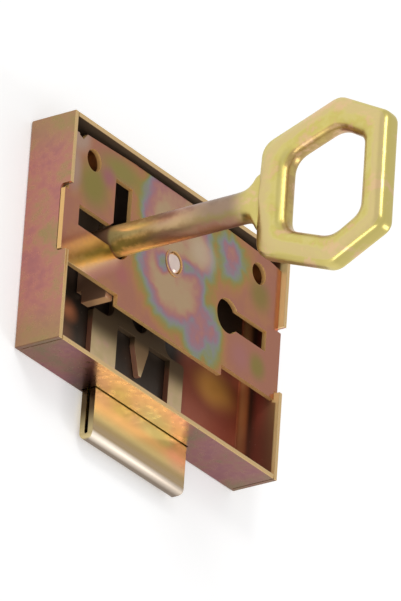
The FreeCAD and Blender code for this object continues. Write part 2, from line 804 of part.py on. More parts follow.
def both_sides(corners):
    """The corners of a closed outline that is the same on both sides of the axis."""
    return corners + [(-y, z) for y, z in reversed(corners)]


neck_side = neck_half_key + neck_round
bow = new_sketch(key, "key_bow", "YZ_Plane")
add_outline(bow, both_sides([(neck_side, neck_top)] + outer_corners))
pad(key, bow, "key_bow_pad", size["bow_thick"], middle=True)
finger = new_sketch(key, "key_finger_hole", "YZ_Plane")
add_outline(finger, both_sides(hole_corners))
ring = pocket(key, finger, "key_finger_cut", size["bow_thick"] * 1.2, middle=True)


def at_corner(corners):
    """A test for points on the crosswise edges at these corners of the bow."""
    return lambda p: any(
        near(abs(p.y), y.value, 1e-3) and near(p.z, z.value, 1e-3) for y, z in corners
    )


ring = round_edges(
    key, ring, "key_bow_corners", size["bow_corner"], at_corner(outer_corners)
)
ring = round_edges(
    key, ring, "key_hole_corners", size["bow_hole_corner"], at_corner(hole_corners)
)
bow_face = size["bow_thick"].value / 2
round_edges(
    key,
    ring,
    "key_bow_bevel",
    size["bow_bevel"],
    lambda p: near(abs(p.x), bow_face, 1e-3) and p.z > neck_top.value - 1e-3,
    kind="PartDesign::Chamfer",
)

neck = new_sketch(key, "key_neck", "YZ_Plane")
neck_in = neck_top + size["bow_bevel"]
add_outline(
    neck,
    [
        (neck_half_key, neck_base, neck_round, -1),
        (neck_side, neck_top),
        (neck_side, neck_in),
        (-neck_side, neck_in),
        (-neck_side, neck_top, neck_round, -1),
        (-neck_half_key, neck_base),
    ],
)
pad(key, neck, "key_neck_pad", size["bow_thick"] - size["bow_neck_thin"] * 2, middle=True)

shoulder = size["case_sheet"] + size["bolt_float"]
turned = new_sketch(key, "key_shaft", "XZ_Plane")
add_outline(
    turned,
    [
        (ZERO, size["pilot_rise"]),
        (size["pilot_dia"] / 2, size["pilot_rise"]),
        (size["pilot_dia"] / 2, shoulder),
        (size["shaft_dia"] / 2, shoulder),
        (size["shaft_dia"] / 2, size["shaft_end"]),
        (ZERO, size["shaft_end"] + size["shaft_dia"] / 2),
    ],
)
revolve(key, turned, "key_shaft_turned")

bit_top = cover_back - size["bit_gap"]
bit_low = shoulder + size["bit_step_gap"]
step_top = tail_front + size["bit_step_gap"]
bit = new_sketch(key, "key_bit", "YZ_Plane")
add_outline(
    bit,
    [
        (-size["shaft_dia"] / 4, bit_low),
        (-size["shaft_dia"] / 4, bit_top),
        (-size["bit_reach"], bit_top),
        (-size["bit_reach"], step_top),
        (-size["bit_step_reach"], step_top),
        (-size["bit_step_reach"], bit_low),
    ],
)
pad(key, bit, "key_bit_pad", size["bit_thick"], middle=True)

# Checks on the finished document, then one file for each piece
doc.recompute()
for obj in doc.Objects:
    if "Invalid" in obj.State or "Error" in obj.State:
        raise RuntimeError(f"{obj.Name}: {obj.State}")
os.makedirs("parts", exist_ok=True)
for body in (case, cover, bolt, pillar, spring, key) + tuple(
    doc.getObject(name) for name in ("screw_tube_left", "screw_tube_right")
):
    shape = body.Shape
    if shape.isNull() or not shape.isValid():
        raise RuntimeError(f"{body.Label} has no valid shape")
    if len(shape.Solids) != 1:
        raise RuntimeError(f"{body.Label} has {len(shape.Solids)} solids")
    shape.exportStep(f"parts/{body.Label}.step")
    print(body.Label, round(shape.Volume, 2), [round(v, 2) for v in (
        shape.BoundBox.XMin, shape.BoundBox.XMax, shape.BoundBox.YMin,
        shape.BoundBox.YMax, shape.BoundBox.ZMin, shape.BoundBox.ZMax)])
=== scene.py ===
# %% [markdown]
# A cabinet lock of folded sheet steel, yellow passivated, with its key in the left keyhole.
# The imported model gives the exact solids. This lesson dresses them: it gives each piece its
# thin-film colours, softens the edges that the press leaves, and builds the key anew,
# because a cast key has rounded shapes that plain solids do not show.

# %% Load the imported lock
import json
import math

import bmesh
import bpy
import numpy as np
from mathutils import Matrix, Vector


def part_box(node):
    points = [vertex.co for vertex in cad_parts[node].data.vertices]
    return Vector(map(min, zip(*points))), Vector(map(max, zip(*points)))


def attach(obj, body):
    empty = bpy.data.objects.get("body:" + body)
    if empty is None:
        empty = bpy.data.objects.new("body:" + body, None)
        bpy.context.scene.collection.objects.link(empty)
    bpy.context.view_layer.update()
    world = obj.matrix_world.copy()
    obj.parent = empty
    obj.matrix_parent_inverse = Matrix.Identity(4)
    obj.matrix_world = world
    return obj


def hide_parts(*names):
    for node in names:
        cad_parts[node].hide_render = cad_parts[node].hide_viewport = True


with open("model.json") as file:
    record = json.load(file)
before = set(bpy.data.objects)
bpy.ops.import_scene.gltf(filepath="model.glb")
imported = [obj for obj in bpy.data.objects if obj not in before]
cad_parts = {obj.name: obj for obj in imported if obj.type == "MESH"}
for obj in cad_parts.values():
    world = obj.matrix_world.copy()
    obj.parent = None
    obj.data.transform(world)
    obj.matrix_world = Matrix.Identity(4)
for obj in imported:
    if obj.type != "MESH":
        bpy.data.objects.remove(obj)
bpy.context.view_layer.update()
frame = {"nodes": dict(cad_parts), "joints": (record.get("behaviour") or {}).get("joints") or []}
nodes = frame["nodes"]
MM = 0.001


print("pieces:", sorted(nodes))

# %% [markdown]
# The camera stands far off with a long lens, so that parallel edges stay nearly parallel.
# It looks down at the lock's left side and is rolled, which makes the key point to the
# upper right.

# %% Camera
# the distance and the clip ends are in metres
CAMERA_AIM_MM = (6.85, 2.1, 10.8)
CAMERA_AZIMUTH = math.radians(-58.53)
CAMERA_ELEVATION = math.radians(32.65)
CAMERA_ROLL = math.radians(75.6)
CAMERA_DISTANCE = 1.821
FRAME_HEIGHT = 601
LENS_IN_PIXELS = 9700
SENSOR_MM = 36.0
CLIP_NEAR = 0.01
CLIP_FAR = 20.0


def camera_axes(azimuth, elevation, roll):
    """Right, up and backward of a camera. Backward points from the aim to the lens.
    Right starts level with the floor, then right and up turn together by the roll."""
    level = math.cos(elevation)
    backward = np.array(
        [math.sin(azimuth) * level, -math.cos(azimuth) * level, math.sin(elevation)]
    )
    right = np.cross(-backward, [0.0, 0.0, 1.0])
    right /= np.linalg.norm(right)
    up = np.cross(right, -backward)
    turned_right = right * math.cos(roll) + up * math.sin(roll)
    turned_up = up * math.cos(roll) - right * math.sin(roll)
    return turned_right, turned_up, backward


view_right, view_up, view_back = camera_axes(CAMERA_AZIMUTH, CAMERA_ELEVATION, CAMERA_ROLL)
camera_matrix = np.eye(4)
camera_matrix[:3, 0] = view_right
camera_matrix[:3, 1] = view_up
camera_matrix[:3, 2] = view_back
camera_matrix[:3, 3] = np.array(CAMERA_AIM_MM) * MM + view_back * CAMERA_DISTANCE

lens = bpy.data.cameras.new("camera")
lens.sensor_width = SENSOR_MM
lens.lens = LENS_IN_PIXELS / FRAME_HEIGHT * SENSOR_MM
lens.clip_start = CLIP_NEAR
lens.clip_end = CLIP_FAR
camera = bpy.data.objects.new("camera", lens)
bpy.context.scene.collection.objects.link(camera)
camera.matrix_world = camera_matrix.T.tolist()
bpy.context.scene.camera = camera
bpy.context.scene.view_settings.view_transform = "Standard"
print("lens", round(lens.lens, 1), "mm")

# %% [markdown]
# A bright metal shows its surroundings. In a white room every face returns its own colour,
# and a few small lamps add the sharp lights on the key's ridges. The room is a plain world
# colour, the lamps are soft squares, and the floor is a large pale sheet.

# %% Room, floor and lamps
ROOM_WHITE = 1.0
ROOM_LIGHT = 0.72
FLOOR_SIZE = 6.0
# name, place in metres, side in metres, radiance
LAMPS = [
    ("lamp_from_above_left", (-0.47, 0.42, 0.65), 0.24, 7.0),
    ("lamp_past_the_nose", (0.65, -0.36, 0.52), 0.26, 5.0),
    ("lamp_low_left", (-0.55, -0.68, 0.16), 0.26, 4.0),
]


def light_world():
    """A room that looks white to the eye and in reflections, and lights a little less."""
    world = bpy.data.worlds.new("room")
    bpy.context.scene.world = world
    world.use_nodes = True
    tree = world.node_tree
    tree.nodes.clear()
    output = tree.nodes.new("ShaderNodeOutputWorld")
    background = tree.nodes.new("ShaderNodeBackground")
    path = tree.nodes.new("ShaderNodeLightPath")
    seen = tree.nodes.new("ShaderNodeMath")
    seen.operation = "ADD"
    seen.use_clamp = True
    also = tree.nodes.new("ShaderNodeMath")
    also.operation = "ADD"
    also.use_clamp = True
    strength = tree.nodes.new("ShaderNodeMapRange")
    strength.inputs["To Min"].default_value = ROOM_LIGHT
    strength.inputs["To Max"].default_value = ROOM_WHITE
    tree.links.new(path.outputs["Is Camera Ray"], seen.inputs[0])
    tree.links.new(path.outputs["Is Glossy Ray"], seen.inputs[1])
    tree.links.new(seen.outputs[0], also.inputs[0])
    tree.links.new(path.outputs["Is Transmission Ray"], also.inputs[1])
    tree.links.new(also.outputs[0], strength.inputs["Value"])
    tree.links.new(strength.outputs["Result"], background.inputs["Strength"])
    tree.links.new(background.outputs[0], output.inputs["Surface"])


def soft_lamp(name, place, side, radiance):
    """A square lamp aimed at the lock. Its power is radiance times area times pi."""
    data = bpy.data.lights.new(name, "AREA")
    data.shape = "SQUARE"
    data.size = side
    data.energy = radiance * side * side * math.pi
    lamp = bpy.data.objects.new(name, data)
    bpy.context.scene.collection.objects.link(lamp)
    back = np.array(place, float)
    distance = np.linalg.norm(back)
    back /= distance
    right = np.cross([0.0, 0.0, 1.0], back)
    right /= np.linalg.norm(right)
    matrix = np.eye(4)
    matrix[:3, 0] = right
    matrix[:3, 1] = np.cross(back, right)
    matrix[:3, 2] = back
    matrix[:3, 3] = back * distance
    lamp.matrix_world = matrix.T.tolist()
    print(name, round(data.energy, 2), "W")


light_world()
for lamp_values in LAMPS:
    soft_lamp(*lamp_values)

half = FLOOR_SIZE / 2
floor_mesh = bpy.data.meshes.new("floor")
floor_mesh.from_pydata(
    [(-half, -half, 0.0), (half, -half, 0.0), (half, half, 0.0), (-half, half, 0.0)],
    [],
    [(0, 1, 2, 3)],
)
floor = bpy.data.objects.new("floor", floor_mesh)
bpy.context.scene.collection.objects.link(floor)

# %% [markdown]
# Every finish here is a small tree of shader nodes. A few helpers keep the trees short:
# one adds a node with its settings, one gives a point's place in millimetres, and others
# make clouds, soft spots, ramps and sums out of it. Because the place is the object's own,
# the pattern moves with the piece and looks the same from every side.

# %% Helpers for finishes
# the display curve: straight below its knee, a power above it
LINEAR_KNEE = 0.04045
LINEAR_SLOPE = 12.92
CURVE_SHIFT = 0.055
CURVE_POWER = 2.4
# clouds seldom leave this range
CLOUD_RANGE = (0.3, 0.7)
# how far a seed moves the clouds along each axis
SEED_STEPS = (1.0, 0.7, 1.3)
# the normal's part across the sheet: below the first number it is a cut edge
SHEET_FACING = (0.25, 0.6)
# a Mix node's colour sockets: first colour, second colour, result
MIX_FIRST = 6
MIX_SECOND = 7
MIX_RESULT = 2


def tint(red, green, blue):
    """A display colour from 0 to 255 as linear light, with alpha."""
    values = np.array([red, green, blue]) / 255.0
    low = values / LINEAR_SLOPE
    high = ((values + CURVE_SHIFT) / (1.0 + CURVE_SHIFT)) ** CURVE_POWER
    linear = np.where(values <= LINEAR_KNEE, low, high)
    return (*linear.tolist(), 1.0)


class Finish:
    """A material with one metal shader, and short ways to add nodes to it."""

    def __init__(self, name, metallic=1.0, roughness=0.3):
        self.material = bpy.data.materials.new(name)
        self.material.use_nodes = True
        self.tree = self.material.node_tree
        self.tree.nodes.clear()
        output = self.tree.nodes.new("ShaderNodeOutputMaterial")
        self.shader = self.tree.nodes.new("ShaderNodeBsdfPrincipled")
        self.tree.links.new(self.shader.outputs[0], output.inputs["Surface"])
        self.shader.inputs["Metallic"].default_value = metallic
        self.shader.inputs["Roughness"].default_value = roughness
        place = self.add("ShaderNodeTexCoord")
        scaled = self.add("ShaderNodeVectorMath", operation="SCALE")
        scaled.inputs["Scale"].default_value = 1.0 / MM
        self.join(place.outputs["Object"], scaled.inputs[0])
        self.mm = scaled.outputs[0]
        split = self.add("ShaderNodeSeparateXYZ")
        self.join(self.mm, split.inputs[0])
        self.x, self.y, self.z = split.outputs

    def add(self, kind, **settings):
        """A new node of that kind with its settings."""
        made = self.tree.nodes.new(kind)
        for key, value in settings.items():
            setattr(made, key, value)
        return made

    def join(self, source, target):
        """Link a socket, or write a plain value."""
        if isinstance(source, bpy.types.NodeSocket):
            self.tree.links.new(source, target)
        else:
            target.default_value = source

    def calc(self, operation, a, b=0.0, clamp=False):
        """One step of arithmetic with two values."""
        made = self.add("ShaderNodeMath", operation=operation, use_clamp=clamp)
        self.join(a, made.inputs[0])
        self.join(b, made.inputs[1])
        return made.outputs[0]

    def clouds(self, size, detail=2.0, bend=0.0, seed=0.0):
        """Smooth noise from 0 to 1 whose features are about size millimetres across."""
        vector = self.mm
        if seed:
            mapping = self.add("ShaderNodeMapping")
            mapping.inputs["Location"].default_value = [seed * step for step in SEED_STEPS]
            self.join(vector, mapping.inputs["Vector"])
            vector = mapping.outputs[0]
        made = self.add("ShaderNodeTexNoise")
        made.inputs["Scale"].default_value = 1.0 / size
        made.inputs["Detail"].default_value = detail
        made.inputs["Distortion"].default_value = bend
        self.join(vector, made.inputs["Vector"])
        return made.outputs[0]

    def ramp(self, value, start, end, low=0.0, high=1.0):
        """Goes smoothly from low at start to high at end."""
        made = self.add("ShaderNodeMapRange", interpolation_type="SMOOTHSTEP")
        self.join(value, made.inputs["Value"])
        for key, number in (
            ("From Min", start), ("From Max", end), ("To Min", low), ("To Max", high),
        ):
            made.inputs[key].default_value = number
        return made.outputs[0]

    def sway(self, clouds, least, most):
        """A value that goes from least to most as clouds go from thin to thick."""
        return self.ramp(clouds, *CLOUD_RANGE, least, most)

    def mottle(self, value, clouds, amount):
        """The value frayed by clouds, up and down by amount."""
        return self.calc("ADD", value, self.sway(clouds, -amount, amount))

    def ramp_straight(self, value, start, end):
        """Goes evenly from 0 at start to 1 at end, and stays there beyond."""
        made = self.add("ShaderNodeMapRange", interpolation_type="LINEAR")
        self.join(value, made.inputs["Value"])
        made.inputs["From Min"].default_value = start
        made.inputs["From Max"].default_value = end
        return made.outputs[0]

    def spot(self, centre, radius, core, flatten=(1.0, 1.0, 1.0)):
        """1 inside core millimetres of centre, 0 beyond radius. Flatten weighs the axes."""
        moved = self.add("ShaderNodeVectorMath", operation="SUBTRACT")
        self.join(self.mm, moved.inputs[0])
        moved.inputs[1].default_value = centre
        shaped = self.add("ShaderNodeVectorMath", operation="MULTIPLY")
        self.join(moved.outputs[0], shaped.inputs[0])
        shaped.inputs[1].default_value = flatten
        length = self.add("ShaderNodeVectorMath", operation="LENGTH")
        self.join(shaped.outputs[0], length.inputs[0])
        return self.ramp(length.outputs["Value"], core, radius, 1.0, 0.0)

    def colours(self, value, stops):
        """A colour ramp. Each stop is (place, display colour)."""
        made = self.add("ShaderNodeValToRGB")
        made.color_ramp.interpolation = "B_SPLINE"
        points = made.color_ramp.elements
        while len(points) < len(stops):
            points.new(0.5)
        for point, (place, colour) in zip(points, stops):
            point.position = place
            point.color = tint(*colour)
        self.join(value, made.inputs[0])
        return made.outputs[0]

    def mix(self, share, a, b):
        """Colour a where share is 0, colour b where it is 1."""
        made = self.add("ShaderNodeMix", data_type="RGBA")
        self.join(share, made.inputs[0])
        self.join(a, made.inputs[MIX_FIRST])
        self.join(b, made.inputs[MIX_SECOND])
        return made.outputs[MIX_RESULT]

    def relief(self, size, depth):
        """Shallow dents: clouds of that size, of that depth, both in millimetres."""
        made = self.add("ShaderNodeBump")
        made.inputs["Strength"].default_value = 1.0
        made.inputs["Distance"].default_value = depth * MM
        self.join(self.clouds(size), made.inputs["Height"])
        return made.outputs[0]

    def facing(self, axis):
        """The size of the normal's part along an axis, 0 for X, 1 for Y, 2 for Z."""
        place = self.add("ShaderNodeTexCoord")
        split = self.add("ShaderNodeSeparateXYZ")
        self.join(place.outputs["Normal"], split.inputs[0])
        return self.calc("ABSOLUTE", split.outputs[axis])

    def cut_edges(self):
        """1 on faces across the sheet, such as a hole's wall, and 0 on the sheet's faces."""
        return self.ramp(self.facing(2), *SHEET_FACING, 1.0, 0.0)

    def slant(self, direction, start=0.0):
        """Distance in millimetres along a direction, less start."""
        made = self.add("ShaderNodeVectorMath", operation="DOT_PRODUCT")
        self.join(self.mm, made.inputs[0])
        made.inputs[1].default_value = direction
        return self.calc("SUBTRACT", made.outputs["Value"], start)

    def times(self, first, *others):
        """The product of several values."""
        for other in others:
            first = self.calc("MULTIPLY", first, other)
        return first

    def band(self, value, low, high, soft):
        """1 between low and high, going to 0 over soft on either side."""
        return self.times(
            self.ramp(value, low - soft, low), self.ramp(value, high, high + soft, 1.0, 0.0)
        )

    def lay(self, base, colour, *masks):
        """Lays a display colour over base, as strongly as the product of the masks."""
        return self.mix(self.times(*masks), base, tint(*colour))

    def sweeps(self, base, steps):
        """Lays colours over base along an axis. Each is (axis, start, full, share, colour)."""
        for axis, start, full, share, colour in steps:
            base = self.lay(base, colour, self.ramp(getattr(self, axis), start, full), share)
        return base

    def patches(self, base, spots):
        """Lays soft spots over a colour.
        Each is (centre, radius, core, flatten, share, colour)."""
        for centre, radius, core, flatten, share, colour in spots:
            base = self.lay(base, colour, self.spot(centre, radius, core, flatten), share)
        return base

    def set(self, **sockets):
        """Gives the metal shader its inputs. An underscore stands for a space."""
        for key, value in sockets.items():
            self.join(value, self.shader.inputs[key.replace("_", " ")])


# %% [markdown]
# The floor is a pale sheet. A little light of its own, which only the eye and reflections
# see, lifts it to white. The lock is not lit by it, so the floor keeps the lock's shadow.

# %% Pale floor
FLOOR_COLOUR = 0.88
FLOOR_GRAIN = 0.01
FLOOR_GRAIN_SIZE = 120.0
FLOOR_ROUGHNESS = 0.9
FLOOR_LIFT = 0.36


def grey(value):
    """A grey as linear light, with alpha."""
    return (value, value, value, 1.0)


def finish_floor():
    """A plain pale sheet, lifted to white for camera rays, glossy rays and rays through
    glass. The three kinds are added up and clamped to 1."""
    made = Finish("pale_floor", metallic=0.0, roughness=FLOOR_ROUGHNESS)
    grain = made.clouds(FLOOR_GRAIN_SIZE)
    made.set(Base_Color=made.mix(grain, grey(FLOOR_COLOUR), grey(FLOOR_COLOUR + FLOOR_GRAIN)))
    path = made.add("ShaderNodeLightPath").outputs
    seen = made.calc("ADD", path["Is Camera Ray"], path["Is Glossy Ray"], clamp=True)
    seen = made.calc("ADD", seen, path["Is Transmission Ray"], clamp=True)
    made.shader.inputs["Emission Color"].default_value = grey(1.0)
    made.set(Emission_Strength=made.times(seen, FLOOR_LIFT))
    return made.material


floor.data.materials.append(finish_floor())
print("floor", FLOOR_SIZE, "m wide")

# %% [markdown]
# Yellow passivated zinc gets its colours as oil on water does: the film is thinner than a
# wave of light, and each thickness returns another colour. So the cover plate's finish first
# works out a film value from clouds, spots and distances, then looks its colour up in one
# ramp that runs gold, pink, violet, grey-blue, green, olive, orange.

# %% Film colours of the zinc
# stops of a colour ramp: (place, display colour)
FILM_STOPS = [
    (0.00, (180, 154, 118)),
    (0.14, (182, 138, 112)),
    (0.27, (172, 112, 112)),
    (0.37, (152, 122, 136)),
    (0.46, (138, 140, 140)),
    (0.56, (136, 144, 98)),
    (0.66, (156, 132, 62)),
    (0.80, (178, 122, 84)),
    (1.00, (166, 110, 92)),
]
# weights of X, Y and Z for a spot that runs through the whole height
FLAT = (1.0, 1.0, 0.0)

# %% [markdown]
# The case is folded from one sheet. Its walls are dusty pink, and its cut rim is gold.
# Tones could be painted on by hand; here soft sweeps along the axes and soft spots lay each
# tone where it belongs. Inside, the zinc is dull and less of a mirror.

# %% Tones of the case
WALL_STOPS = [
    (0.30, (160, 138, 96)),
    (0.42, (178, 132, 106)),
    (0.55, (184, 124, 112)),
    (0.70, (170, 114, 112)),
]
LOW_WALL_STOPS = [
    (0.32, (120, 98, 70)),
    (0.50, (146, 94, 86)),
    (0.66, (136, 84, 90)),
]
# the right wall's inner bands, film tones with painted light and shade, from the back plate up
# to the rim
STREAK_STOPS = [
    (0.09, (210, 110, 74)),
    (0.17, (255, 206, 136)),
    (0.29, (240, 154, 98)),
    (0.36, (58, 44, 40)),
    (0.44, (90, 58, 48)),
    (0.58, (178, 84, 72)),
    (0.80, (140, 96, 74)),
    (1.00, (170, 132, 84)),
]
STREAK_TOP = 10.0
# sweeps: (axis, where it starts, where it is full, share, colour), in millimetres
SIDE_SWEEPS = [
    ("y", 14.0, 23.0, 0.6, (156, 134, 90)),
    ("y", -14.0, -22.0, 0.6, (156, 134, 90)),
]
LOW_WALL_SWEEPS = [
    ("x", 29.0, 35.0, 0.5, (122, 104, 70)),
    ("x", -29.0, -35.0, 0.5, (122, 104, 70)),
]
# inside: painted shade as a dark base, then sweeps and spots of painted light with the film's
# red-brown tones
INSIDE_SHADE = (62, 52, 43)
INSIDE_SWEEPS = [
    ("y", -14.5, -18.5, 1.0, (110, 76, 60)),
    ("x", 12.0, 18.0, 1.0, (178, 98, 74)),
    ("y", -1.0, 3.0, 1.0, (104, 88, 72)),
]
STREAK_SWEEPS = [("y", -8.0, -15.0, 0.6, (120, 78, 60))]
# spots: (centre, radius, core, weights of the axes, share, colour), in millimetres
INSIDE_PATCHES = [
    # a painted glow on the back plate right of the bolt
    ((26.5, -6.0, 0.0), 7.5, 1.0, (0.8, 1.4, 0.0), 1.0, (255, 184, 94)),
    ((30.0, -12.0, 0.0), 6.0, 0.5, FLAT, 0.6, (180, 92, 72)),
    ((-20.5, -9.5, 0.0), 3.2, 0.3, (0.8, 1.0, 0.0), 0.8, (214, 134, 92)),
    ((-21.5, -14.5, 0.0), 4.5, 0.5, FLAT, 0.6, (150, 104, 76)),
]

# %% Places on the case
# where a change starts and where it is done, in millimetres. Two more numbers, where they
# are given, are its values there.
BOTTOM_WALL = (-23.2, -23.4)
INNER_X = (34.4, 34.6)
INNER_Y = (22.9, 23.1)
BACK_PLATE_TOP = (0.7, 0.85)
RIGHT_WALL = (33.6, 34.0)
CUT_RIM = (10.36, 10.44)
CUT_RIM_TONE = (214, 180, 126)
# a lit edge under the rim, lower towards the bottom wall
LIT_EDGE = (9.5, 9.9)
LIT_EDGE_STEP = (-7.4, -7.0, 0.0, 0.9)
LIT_EDGE_TONE = (255, 226, 160)
# the bottom wall over the bolt, with a painted reflection of the bolt and painted shade beside
# it: (low, high, softness) along a slanted direction
BOLT_SLANT = (1.0, 0.0, 1.2)
BOLT_REFLECTION_ZONE = (-10.0, 17.0, 1.6)
BOLT_REFLECTION_SHARE = 0.7
BOLT_REFLECTION_TONE = (188, 148, 128)
SHADE_ZONE = (-12.5, -11.5, 8.0)
SHADE_HEIGHT = (9.0, 1.0, 0.15, 0.8)
SHADE_TONE = (48, 38, 30)
GLOW_SPOT = ((27.0, -6.0, 0.8), 8.0, 3.0)
SPECK_CLOUDS = {"size": 0.55, "detail": 1.0, "seed": 9.0}
SPECK_RANGE = (0.74, 0.80)
SPECK_SHARE = 0.15
SPECK_TONE = (222, 198, 176)
INSIDE_DULL = 0.7
GLOW_DULL = 0.3
CASE_ROUGHNESS = (0.26, 0.36)
INSIDE_ROUGHER = 0.12
CASE_SLOW = {"size": 8.0, "bend": 0.4}
CASE_FINE = {"size": 1.4, "detail": 3.0, "seed": 4.0}
CASE_MOTTLE = 0.07
# dents: size and depth in millimetres
CASE_DENTS = (0.9, 0.005)


# %% Finish of the case
def finish_walls(made, value):
    """The outer side: side walls, and the bottom wall that the bolt comes through, with a
    painted reflection of the bolt and painted shade beside it.
    """
    side = made.sweeps(made.colours(value, WALL_STOPS), SIDE_SWEEPS)
    low_wall = made.sweeps(made.colours(value, LOW_WALL_STOPS), LOW_WALL_SWEEPS)
    over_bolt = made.slant(BOLT_SLANT)
    # a painted reflection: the bolt shown pale on the bottom wall over it
    low_wall = made.lay(low_wall, BOLT_REFLECTION_TONE, made.band(over_bolt, *BOLT_REFLECTION_ZONE), BOLT_REFLECTION_SHARE)
    # painted shade on the bottom wall beside the bolt, darker low down
    shade = made.times(made.band(over_bolt, *SHADE_ZONE), made.ramp(made.z, *SHADE_HEIGHT))
    low_wall = made.lay(low_wall, SHADE_TONE, shade)
    return made.mix(made.ramp(made.y, *BOTTOM_WALL), side, low_wall)


def finish_inside(made):
    """The inner side, in painted shade and painted light: the back plate with a painted glow,
    and the right wall with its streaks.
    """
    # painted shade for the inside, lit by painted sweeps and spots
    depth = made.sweeps(tint(*INSIDE_SHADE), INSIDE_SWEEPS)
    depth = made.patches(depth, INSIDE_PATCHES)
    # bands on the right wall: film tones with painted light and shade
    streaks = made.colours(made.ramp_straight(made.z, 0.0, STREAK_TOP), STREAK_STOPS)
    streaks = made.sweeps(streaks, STREAK_SWEEPS)
    edge_height = made.calc("ADD", made.z, made.ramp(made.y, *LIT_EDGE_STEP))
    streaks = made.lay(streaks, LIT_EDGE_TONE, made.ramp(edge_height, *LIT_EDGE))
    return made.mix(made.ramp(made.x, *RIGHT_WALL), depth, streaks)


def finish_case():
    """Walls dusty pink, olive towards their ends and gold on the cut rim, with a painted
    reflection of the bolt on the bottom wall. Inside the zinc is dull and brown, with painted
    shade nearly black where little light comes in, and painted light and glows."""
    made = Finish("zinc_case")
    fine = made.clouds(**CASE_FINE)
    value = made.mottle(made.clouds(**CASE_SLOW), fine, CASE_MOTTLE)
    across = made.ramp(made.calc("ABSOLUTE", made.x), *INNER_X, 1.0, 0.0)
    along = made.ramp(made.calc("ABSOLUTE", made.y), *INNER_Y, 1.0, 0.0)
    inside = made.times(across, along, made.ramp(made.z, *BACK_PLATE_TOP))
    zinc = made.mix(inside, finish_walls(made, value), finish_inside(made))
    zinc = made.lay(zinc, CUT_RIM_TONE, made.ramp(made.z, *CUT_RIM))
    specks = made.ramp(made.clouds(**SPECK_CLOUDS), *SPECK_RANGE)
    made.set(Base_Color=made.lay(zinc, SPECK_TONE, specks, SPECK_SHARE))
    glow = made.times(made.spot(*GLOW_SPOT), GLOW_DULL)
    dull = made.times(inside, made.calc("ADD", INSIDE_DULL, glow))
    made.set(Metallic=made.calc("SUBTRACT", 1.0, dull))
    rough = made.sway(fine, *CASE_ROUGHNESS)
    made.set(Roughness=made.calc("ADD", rough, made.times(inside, INSIDE_ROUGHER)))
    made.set(Normal=made.relief(*CASE_DENTS))
    return made.material


# %% [markdown]
# The cover plate shows the film best. Its colours run in rings, as contour lines round a
# hill: the hill's height is the largest of a few soft spots, and small spots dent it.
# Loose patches of olive and pink lie outside the rings.

# %% Tones of the cover plate
# spots of the film's hill: (centre, radius, core, weights of the axes, height)
HILL_SPOTS = [
    ((-0.5, 4.0, 0.0), 17.0, 4.0, (1.0, 1.15, 0.0), 1.0),
    ((0.5, 15.0, 0.0), 18.0, 5.0, (1.0, 1.1, 0.0), 1.0),
    ((17.5, 16.5, 0.0), 11.0, 0.0, (0.9, 1.1, 0.0), 0.68),
    ((9.5, -2.5, 0.0), 10.5, 3.5, FLAT, 0.6),
]
DENT_SPOTS = [
    ((-3.4, 5.6, 0.0), 3.8, 0.2, FLAT, 0.5),
    ((3.4, 8.0, 0.0), 3.8, 0.2, FLAT, 0.28),
]
HILL_TOP_RANGE = (0.25, 0.75, 0.85, 1.15)
COVER_PATCHES = [
    ((-26.5, 11.8, 0.0), 7.0, 1.5, FLAT, 0.9, (136, 126, 60)),
    ((-18.0, 18.3, 0.0), 8.0, 1.5, (0.8, 2.0, 0.0), 0.9, (142, 132, 68)),
    ((-32.5, 13.0, 0.0), 5.0, 0.8, (1.6, 0.7, 0.0), 0.7, (172, 146, 130)),
    ((-22.0, 15.5, 0.0), 3.2, 0.3, FLAT, 0.7, (158, 96, 108)),
    ((-31.5, 20.0, 0.0), 4.5, 1.5, FLAT, 0.8, (176, 150, 132)),
    ((-16.0, -2.0, 0.0), 3.5, 0.5, FLAT, 0.7, (172, 102, 100)),
    ((27.5, 12.5, 0.0), 5.0, 0.8, FLAT, 0.8, (132, 118, 58)),
    ((28.0, -2.3, 0.0), 3.8, 0.8, FLAT, 0.85, (134, 122, 58)),
    ((22.5, -2.5, 0.0), 4.5, 0.5, FLAT, 0.6, (168, 112, 112)),
    ((8.5, 13.0, 0.0), 5.5, 1.0, (0.9, 1.2, 0.0), 0.7, (196, 174, 148)),
]
# the golden streak, a painted reflection of the key's shaft: its lower edge runs from beside the
# shaft to the plate's corner
SHAFT_REFLECTION_STOPS = [
    (0.00, (190, 140, 112)),
    (0.22, (240, 196, 158)),
    (0.38, (226, 190, 146)),
    (0.52, (196, 186, 124)),
    (0.64, (226, 196, 140)),
    (0.74, (240, 202, 154)),
    (0.86, (200, 144, 116)),
    (1.00, (178, 120, 104)),
]
SHAFT_REFLECTION_DIRECTION = (-0.588, 0.809, 0.0)
SHAFT_REFLECTION_START = 11.2
SHAFT_REFLECTION_REACH = (6.5, -2.0)
SHAFT_REFLECTION_BAND = (-1.6, 5.2, 1.4)
SHAFT_REFLECTION_BESIDE_SHAFT = (-15.5, -18.5)
SHAFT_REFLECTION_BELOW_SLOT = (4.6, 3.2)
SHAFT_REFLECTION_SHARE = 0.9
COVER_CUT_TONE = (236, 192, 124)
COVER_ROUGHNESS = (0.17, 0.26)
CUT_ROUGHER = 0.35
CUT_DULL = 0.55
COVER_SLOW = {"size": 7.0, "bend": 0.6, "seed": 2.0}
COVER_FINE = {"size": 1.3, "detail": 3.0, "seed": 5.0}
FILM_MOTTLE = 0.025
COVER_DENTS = (0.8, 0.008)


# %% Finish of the cover plate
def film_value(made, fine):
    """The film's thickness from 0 to 1: high ground outside, less the height of the hill,
    plus two dents and a fine tremble."""
    hill = 0.0
    for *place, height in HILL_SPOTS:
        hill = made.calc("MAXIMUM", hill, made.times(made.spot(*place), height))
    slow = made.clouds(**COVER_SLOW)
    film = made.calc("SUBTRACT", made.ramp(slow, *HILL_TOP_RANGE), hill)
    film = made.mottle(film, fine, FILM_MOTTLE)
    for *place, height in DENT_SPOTS:
        film = made.calc("ADD", film, made.times(made.spot(*place), height))
    return film


